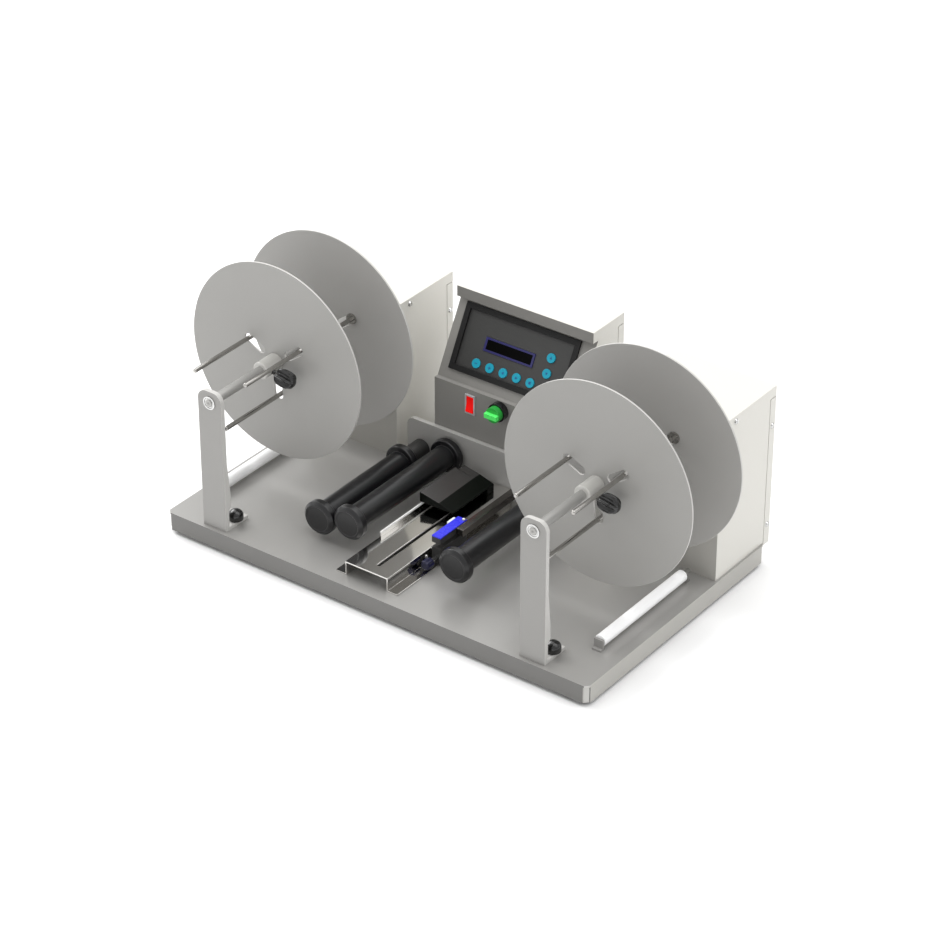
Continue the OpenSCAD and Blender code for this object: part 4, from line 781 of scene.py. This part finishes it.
SLOT_LEFT, SLOT_RIGHT = spot(-9.4, 0, 0).x, spot(-4.2, 0, 0).x
SLOT_FOOT = spot(0, 0, 13).z
FENCE_ROLL, FENCE_LAP, FENCE_WALL_HALF = 2.4, 0.3, 0.7
HOOD_FOLD = -14.8
fence_low, fence_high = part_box("guide_fence")
fence_mid = (fence_low + fence_high) / 2
wall_half = FENCE_WALL_HALF * MM
roll_foot = fence_high.z - FENCE_ROLL * MM
roll_lowest = roll_foot - 0.01 * MM


# The slot's side walls, lightened as painted light.
def on_highlit_slot_wall(middle, normal):
    return SLOT_LEFT < middle.x < SLOT_RIGHT and abs(normal.z) < 0.9 and middle.z > SLOT_FOOT


def on_fence_roll(middle, normal):
    return middle.z > roll_lowest and abs(normal.y) < 0.99


# The hood's top plane, lightened as painted reflection.
def on_hood_lit_top(middle, normal):
    return normal.z > 0.9 and normal.x > 0.1 and middle.x < HOOD_FOLD * MM


channel = dress("guide_channel", "folded", polished_sheet, 0.35)
# Painted light on the slot walls.
repaint(channel, highlight_rim_coat, on_highlit_slot_wall)
bm = bmesh.new()
slab(bm, Vector((fence_mid.x - wall_half, fence_low.y, fence_low.z)) / MM,
     Vector((fence_mid.x + wall_half, fence_high.y, roll_foot + FENCE_LAP * MM)) / MM, width=0.1)
slab(bm, Vector((fence_low.x, fence_low.y, roll_foot)) / MM, fence_high / MM, width=0.8, steps=4)
fence = node_piece("guide_fence_rolled", "guide_fence", bm, polished_sheet)
# The rolled top is steel, whitened as painted highlight.
repaint(fence, fence_roll_steel_painted_highlight, on_fence_roll)
dress("sensor_bar", "edged", dark_bar, 0.5)
hood = dress("sensor_head", "moulded", hood_black, 0.4)
# Painted reflection on the hood's top plane.
repaint(hood, hood_lit_top, on_hood_lit_top)
dress("gap_sensor", "moulded", black_plastic, 0.4)
dress("sensor_cap", "moulded", cap_blue, 0.4)

CLAMP_R, CLAMP_HEAD_L, CLAMP_STEM_R, CLAMP_L = 4.9, 10, 2.5, 25.5
CLAMP_FLUTES, CLAMP_FLUTE_DEPTH, CLAMP_FLUTES_FROM_R = 8, 0.45, 4.2
CLAMP_ROWS = rounded([(0, 0), (3.8, 0), (CLAMP_R, 1.0), (CLAMP_R, 9.2), (4.2, CLAMP_HEAD_L),
                      (CLAMP_STEM_R, CLAMP_HEAD_L), (CLAMP_STEM_R, CLAMP_L), (0, CLAMP_L)], 0.5, 3)
CLAMP_DEPTHS = [CLAMP_FLUTE_DEPTH if CLAMP_FLUTES_FROM_R < r else 0.0 for r, h in CLAMP_ROWS]
CLAMP_NECK = spot(0, 72.2, 0).y
bm = bmesh.new()
lathe(bm, CLAMP_ROWS, node_axis_y("sensor_clamp_knob")[0], 64, CLAMP_FLUTES, CLAMP_DEPTHS)
clamp = node_piece("sensor_clamp_knob_fluted", "sensor_clamp_knob", bm, knob_navy)
repaint(clamp, bright_steel, lambda middle, normal: middle.y > CLAMP_NECK)

LAMP_Y, LAMP_LOW, LAMP_HIGH = 107, (15.0, 0, 29.0), (17.75, 11.0, 32.4)
bm = bmesh.new()
slab(bm, LAMP_LOW, LAMP_HIGH, Matrix.Translation(spot(0, LAMP_Y, 0)), 0.6, 3)
piece("fork_lamp", bm, lamp_white, BODY_OF["gap_sensor"])

SCREW_HEAD = [(0, 0), (1.9, 0), (1.9, 0.7), (1.3, 1.5), (0.5, 1.8), (0, 1.85)]
POINT_LEFT = Matrix.Rotation(math.radians(-90), 4, "Y")
POINT_RIGHT = Matrix.Rotation(math.radians(90), 4, "Y")
FORK_TOP_SCREW, FORK_SIDE_SCREW = spot(26.3, 119.3, 32.6), spot(17.8, 81.6, 17.4)
CHANNEL_SCREW = spot(14.1, 76, 9)
bm = bmesh.new()
lathe(bm, SCREW_HEAD, Matrix.Translation(FORK_TOP_SCREW), 24)
lathe(bm, SCREW_HEAD, Matrix.Translation(FORK_SIDE_SCREW) @ POINT_LEFT, 24)
piece("fork_screws", bm, bright_steel, BODY_OF["gap_sensor"])
bm = bmesh.new()
lathe(bm, SCREW_HEAD, Matrix.Translation(CHANNEL_SCREW) @ POINT_RIGHT, 24)
piece("channel_screw", bm, bright_steel, BODY_OF["guide_channel"])


# Spindles

SPINDLES = {"left": -188.8, "right": 188.8}
AXIS_Z = 140.5
ROD_TURNS = (35, 155, 275)  # degrees round the shaft
DISC_R, DISC_T, DISC_RIM = 104, 2.0, 0.35
FRONT_DISC_Y, FRONT_BORE_R = 103.4, 8.02
REAR_DISC_Y, REAR_BORE_R = 185, 5.02
REAR_HUB_R, REAR_HUB_L = 14, 14
SLOT_IN, SLOT_OUT, SLOT_W = 15, 41, 9.4


def circle_path(radius, count=160):
    turns = [2 * math.pi * i / count for i in range(count)]
    return [(radius * math.cos(a), radius * math.sin(a)) for a in turns]


def slot_path(angle, start, end, width, steps=12):
    """A round-ended slot along a radius."""
    half = width / 2
    a = math.radians(angle)
    path = []
    for centre, turn in ((end - half, -90), (start + half, 90)):
        for i in range(steps + 1):
            t = math.radians(turn + 180 * i / steps)
            x, y = centre + half * math.cos(t), half * math.sin(t)
            path.append((x * math.cos(a) - y * math.sin(a), x * math.sin(a) + y * math.cos(a)))
    return path


def plate_shape(paths, thick, rim, place):
    """A flat plate with holes, its rims rounded, from closed outlines; it lies on place's own XY plane."""
    curve = bpy.data.curves.new("plate_outline", "CURVE")
    curve.dimensions = "2D"
    curve.fill_mode = "BOTH"
    curve.extrude = (thick / 2 - rim) * MM
    curve.bevel_depth = rim * MM
    curve.bevel_resolution = 2
    curve.offset = -rim * MM
    for path in paths:
        spline = curve.splines.new("POLY")
        spline.points.add(len(path) - 1)
        for point, (x, y) in zip(spline.points, path):
            point.co = (x * MM, y * MM, 0, 1)
        spline.use_cyclic_u = True
    holder = bpy.data.objects.new("plate_outline", curve)
    bpy.context.scene.collection.objects.link(holder)
    bpy.context.view_layer.update()
    mesh = bpy.data.meshes.new_from_object(holder.evaluated_get(bpy.context.evaluated_depsgraph_get()))
    bpy.data.objects.remove(holder)
    bpy.data.curves.remove(curve)
    bm = bmesh.new()
    bm.from_mesh(mesh)
    bpy.data.meshes.remove(mesh)
    bmesh.ops.remove_doubles(bm, verts=bm.verts, dist=WELD)
    bmesh.ops.transform(bm, matrix=place @ Matrix.Translation((0, 0, thick / 2 * MM)), verts=bm.verts)
    return bm


def disc_shape(bore_r, place):
    slots = [slot_path(-turn, SLOT_IN, SLOT_OUT, SLOT_W) for turn in ROD_TURNS]
    return plate_shape([circle_path(DISC_R), circle_path(bore_r, 48), *slots], DISC_T, DISC_RIM, place)


# Disc rims, lightened as painted highlight.
def on_highlit_disc_rim(middle, normal):
    return abs(normal.y) < 0.9


# Right- and up-facing bracket faces, lightened as painted highlight.
def on_highlit_bracket_rim(middle, normal):
    return normal.x > 0.3 or normal.z > 0.3


REAR_HUB_ROWS = rounded([(REAR_BORE_R, 0), (REAR_HUB_R, 0), (REAR_HUB_R, REAR_HUB_L),
                         (REAR_BORE_R, REAR_HUB_L)], 0.8)
HUB_Y, SHAFT_Y = 80, 3.1
HUB_ROWS = rounded([(5.05, 0), (8.2, 0), (9, 0.8), (9, 23.4), (8, 23.4), (8, 25.4), (13, 25.4), (13, 27.9),
                    (5.05, 27.9)], 0.3, 3)
ROD_RING, ROD_Y, ROD_R, ROD_L = 36.3, 22, 2.3, 173
ROD_ROWS = rounded([(0, 0), (1.5, 0), (ROD_R, 0.9), (ROD_R, 172.2), (1.8, ROD_L), (0, ROD_L)], 0.4)
NUT_BORE_R, WASHER_R, WASHER_T = 2.1, 6, 1.5
WASHER_STARTS = (161.5, 165.0)
NUT_ROWS = [(NUT_BORE_R, 166.5), (3.6, 166.5), (4.0, 167.0), (4.0, 170.0), (3.6, 170.5),
            (NUT_BORE_R, 170.5)]
KNOB_Y, KNOB_TILT = 88.8, 101  # tilt in degrees from upright, to the right
KNOB_LOBES, LOBE_DEPTH, LOBES_FROM_R, LOBES_FROM_H = 6, 1.7, 4.4, 13
KNOB_ROWS = rounded([(0, 5.3), (2.5, 5.3), (2.5, 12.6), (4.4, 13.2), (6.2, 15.6), (7.4, 19.5), (7.7, 24.5),
                     (7.2, 29.5), (5.6, 33.6), (3.0, 35.7), (0, 36)], 1.4, 4)
KNOB_DEPTHS = [LOBE_DEPTH * max(0.0, min(1.0, (r - LOBES_FROM_R) / 2.4)) if h > LOBES_FROM_H else 0.0
               for r, h in KNOB_ROWS]
THUMB_X, THUMB_Y, THUMB_Z = 10, 24.4, 4
DOME_R, DOME_FOOT, DOME_H = 7.5, 5.0, 6.5
DOME_TURNS = [t * math.pi / 24 for t in range(12)]
DOME = [(DOME_R * math.cos(a), DOME_FOOT + DOME_H * math.sin(a)) for a in DOME_TURNS]
THUMB_ROWS = [(0, -12), (2.6, -12), (3, -11.5), (3, 0), (6.4, 0), (7.2, 0.5), (DOME_R, 1.2), *DOME,
              (0, DOME_FOOT + DOME_H)]
for side, x in SPINDLES.items():
    # Front disc darkened as painted shade, rear disc lightened as painted light.
    bm = disc_shape(FRONT_BORE_R, along_y(x, FRONT_DISC_Y, AXIS_Z))
    front_disc = node_piece(side + "_front_disc_plate", side + "_front_disc", bm, front_disc_shade_coat)
    bm = disc_shape(REAR_BORE_R, along_y(x, REAR_DISC_Y, AXIS_Z))
    lathe(bm, REAR_HUB_ROWS, along_y(x, REAR_DISC_Y + DISC_T, AXIS_Z), 56)
    rear_disc = node_piece(side + "_rear_disc_plate", side + "_rear_disc", bm, rear_disc_lit_coat)
    for disc in (front_disc, rear_disc):
        # Painted highlight on the disc rims.
        repaint(disc, highlight_rim_coat, on_highlit_disc_rim)

    bm = bmesh.new()
    lathe(bm, [*HUB_ROWS, HUB_ROWS[0]], along_y(x, HUB_Y, AXIS_Z), 64)
    node_piece(side + "_front_hub_turned", side + "_front_hub", bm, hub_coat)

    low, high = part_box(side + "_shaft")
    end = (high.y - low.y) / MM
    shaft_rows = rounded([(0, 1.2), (1.0, 0.4), (1.3, 0), (3.4, 0), (4, 0.6), (4, 7.6), (5, 7.6),
                          (5, end - 0.8), (4.2, end), (0, end)], 0.15, 2)
    bm = bmesh.new()
    lathe(bm, shaft_rows, along_y(x, SHAFT_Y, AXIS_Z), 56)
    node_piece(side + "_shaft_turned", side + "_shaft", bm, satin_steel)

    bm = bmesh.new()
    for turn in ROD_TURNS:
        a = math.radians(turn)
        place = along_y(x + ROD_RING * math.cos(a), ROD_Y, AXIS_Z + ROD_RING * math.sin(a))
        lathe(bm, ROD_ROWS, place, 32)
        for start in WASHER_STARTS:
            washer_rows = rounded([(NUT_BORE_R, start), (WASHER_R, start), (WASHER_R, start + WASHER_T),
                                   (NUT_BORE_R, start + WASHER_T)], 0.3, 2)
            lathe(bm, washer_rows, place, 40)
        lathe(bm, NUT_ROWS, place, 6)
    node_piece(side + "_core_rods_turned", side + "_core_rods", bm, rod_steel, 30.0)

    place = Matrix.Translation(spot(x, KNOB_Y, AXIS_Z)) @ Matrix.Rotation(math.radians(KNOB_TILT), 4, "Y")
    bm = bmesh.new()
    lathe(bm, KNOB_ROWS, place, 96, KNOB_LOBES, KNOB_DEPTHS)
    node_piece(side + "_flange_knob_lobed", side + "_flange_knob", bm, gloss_black, 50.0)

    bm = bmesh.new()
    lathe(bm, THUMB_ROWS, Matrix.Translation(spot(x + THUMB_X, THUMB_Y, THUMB_Z)), 56)
    node_piece(side + "_thumb_knob_domed", side + "_thumb_knob", bm, gloss_black, 50.0)
    bracket = dress(side + "_bracket", "bent", bracket_coat, 0.7, 3)
    # Painted highlight on the bracket's right and top faces.
    repaint(bracket, highlight_rim_coat, on_highlit_bracket_rim)


# Bearings and drive

REAR_BEARING_Y, FRONT_BEARING_Y = 212, 3.7
REAR_BEARING_ROWS = rounded([(5.05, 0), (8, 0), (8.3, 0.5), (10, 0.5), (10.3, 0), (15, 0), (15, 3), (11, 3),
                             (11, 11), (5.05, 11)], 0.3, 2)
FRONT_BEARING_ROWS = rounded([(4.05, 0.4), (4.9, 0.4), (5.1, 0.9), (5.5, 0.9), (5.7, 0), (7, 0), (7, 1),
                              (6, 1), (6, 6), (4.05, 6)], 0.2, 2)
bm = bmesh.new()
for x in SPINDLES.values():
    lathe(bm, REAR_BEARING_ROWS, along_y(x, REAR_BEARING_Y, AXIS_Z), 64)
    lathe(bm, [*FRONT_BEARING_ROWS, FRONT_BEARING_ROWS[0]], along_y(x, FRONT_BEARING_Y, AXIS_Z), 64)
node_piece("shaft_bearings_turned", "shaft_bearings", bm, bright_steel)

dress("drive_motor", "cased", turned_steel, 0.4)
dress("unwind_brake", "cased", turned_steel, 0.4)
dress("shaft_coupling", "turned", turned_steel, 0.4)

low, high = cad_box
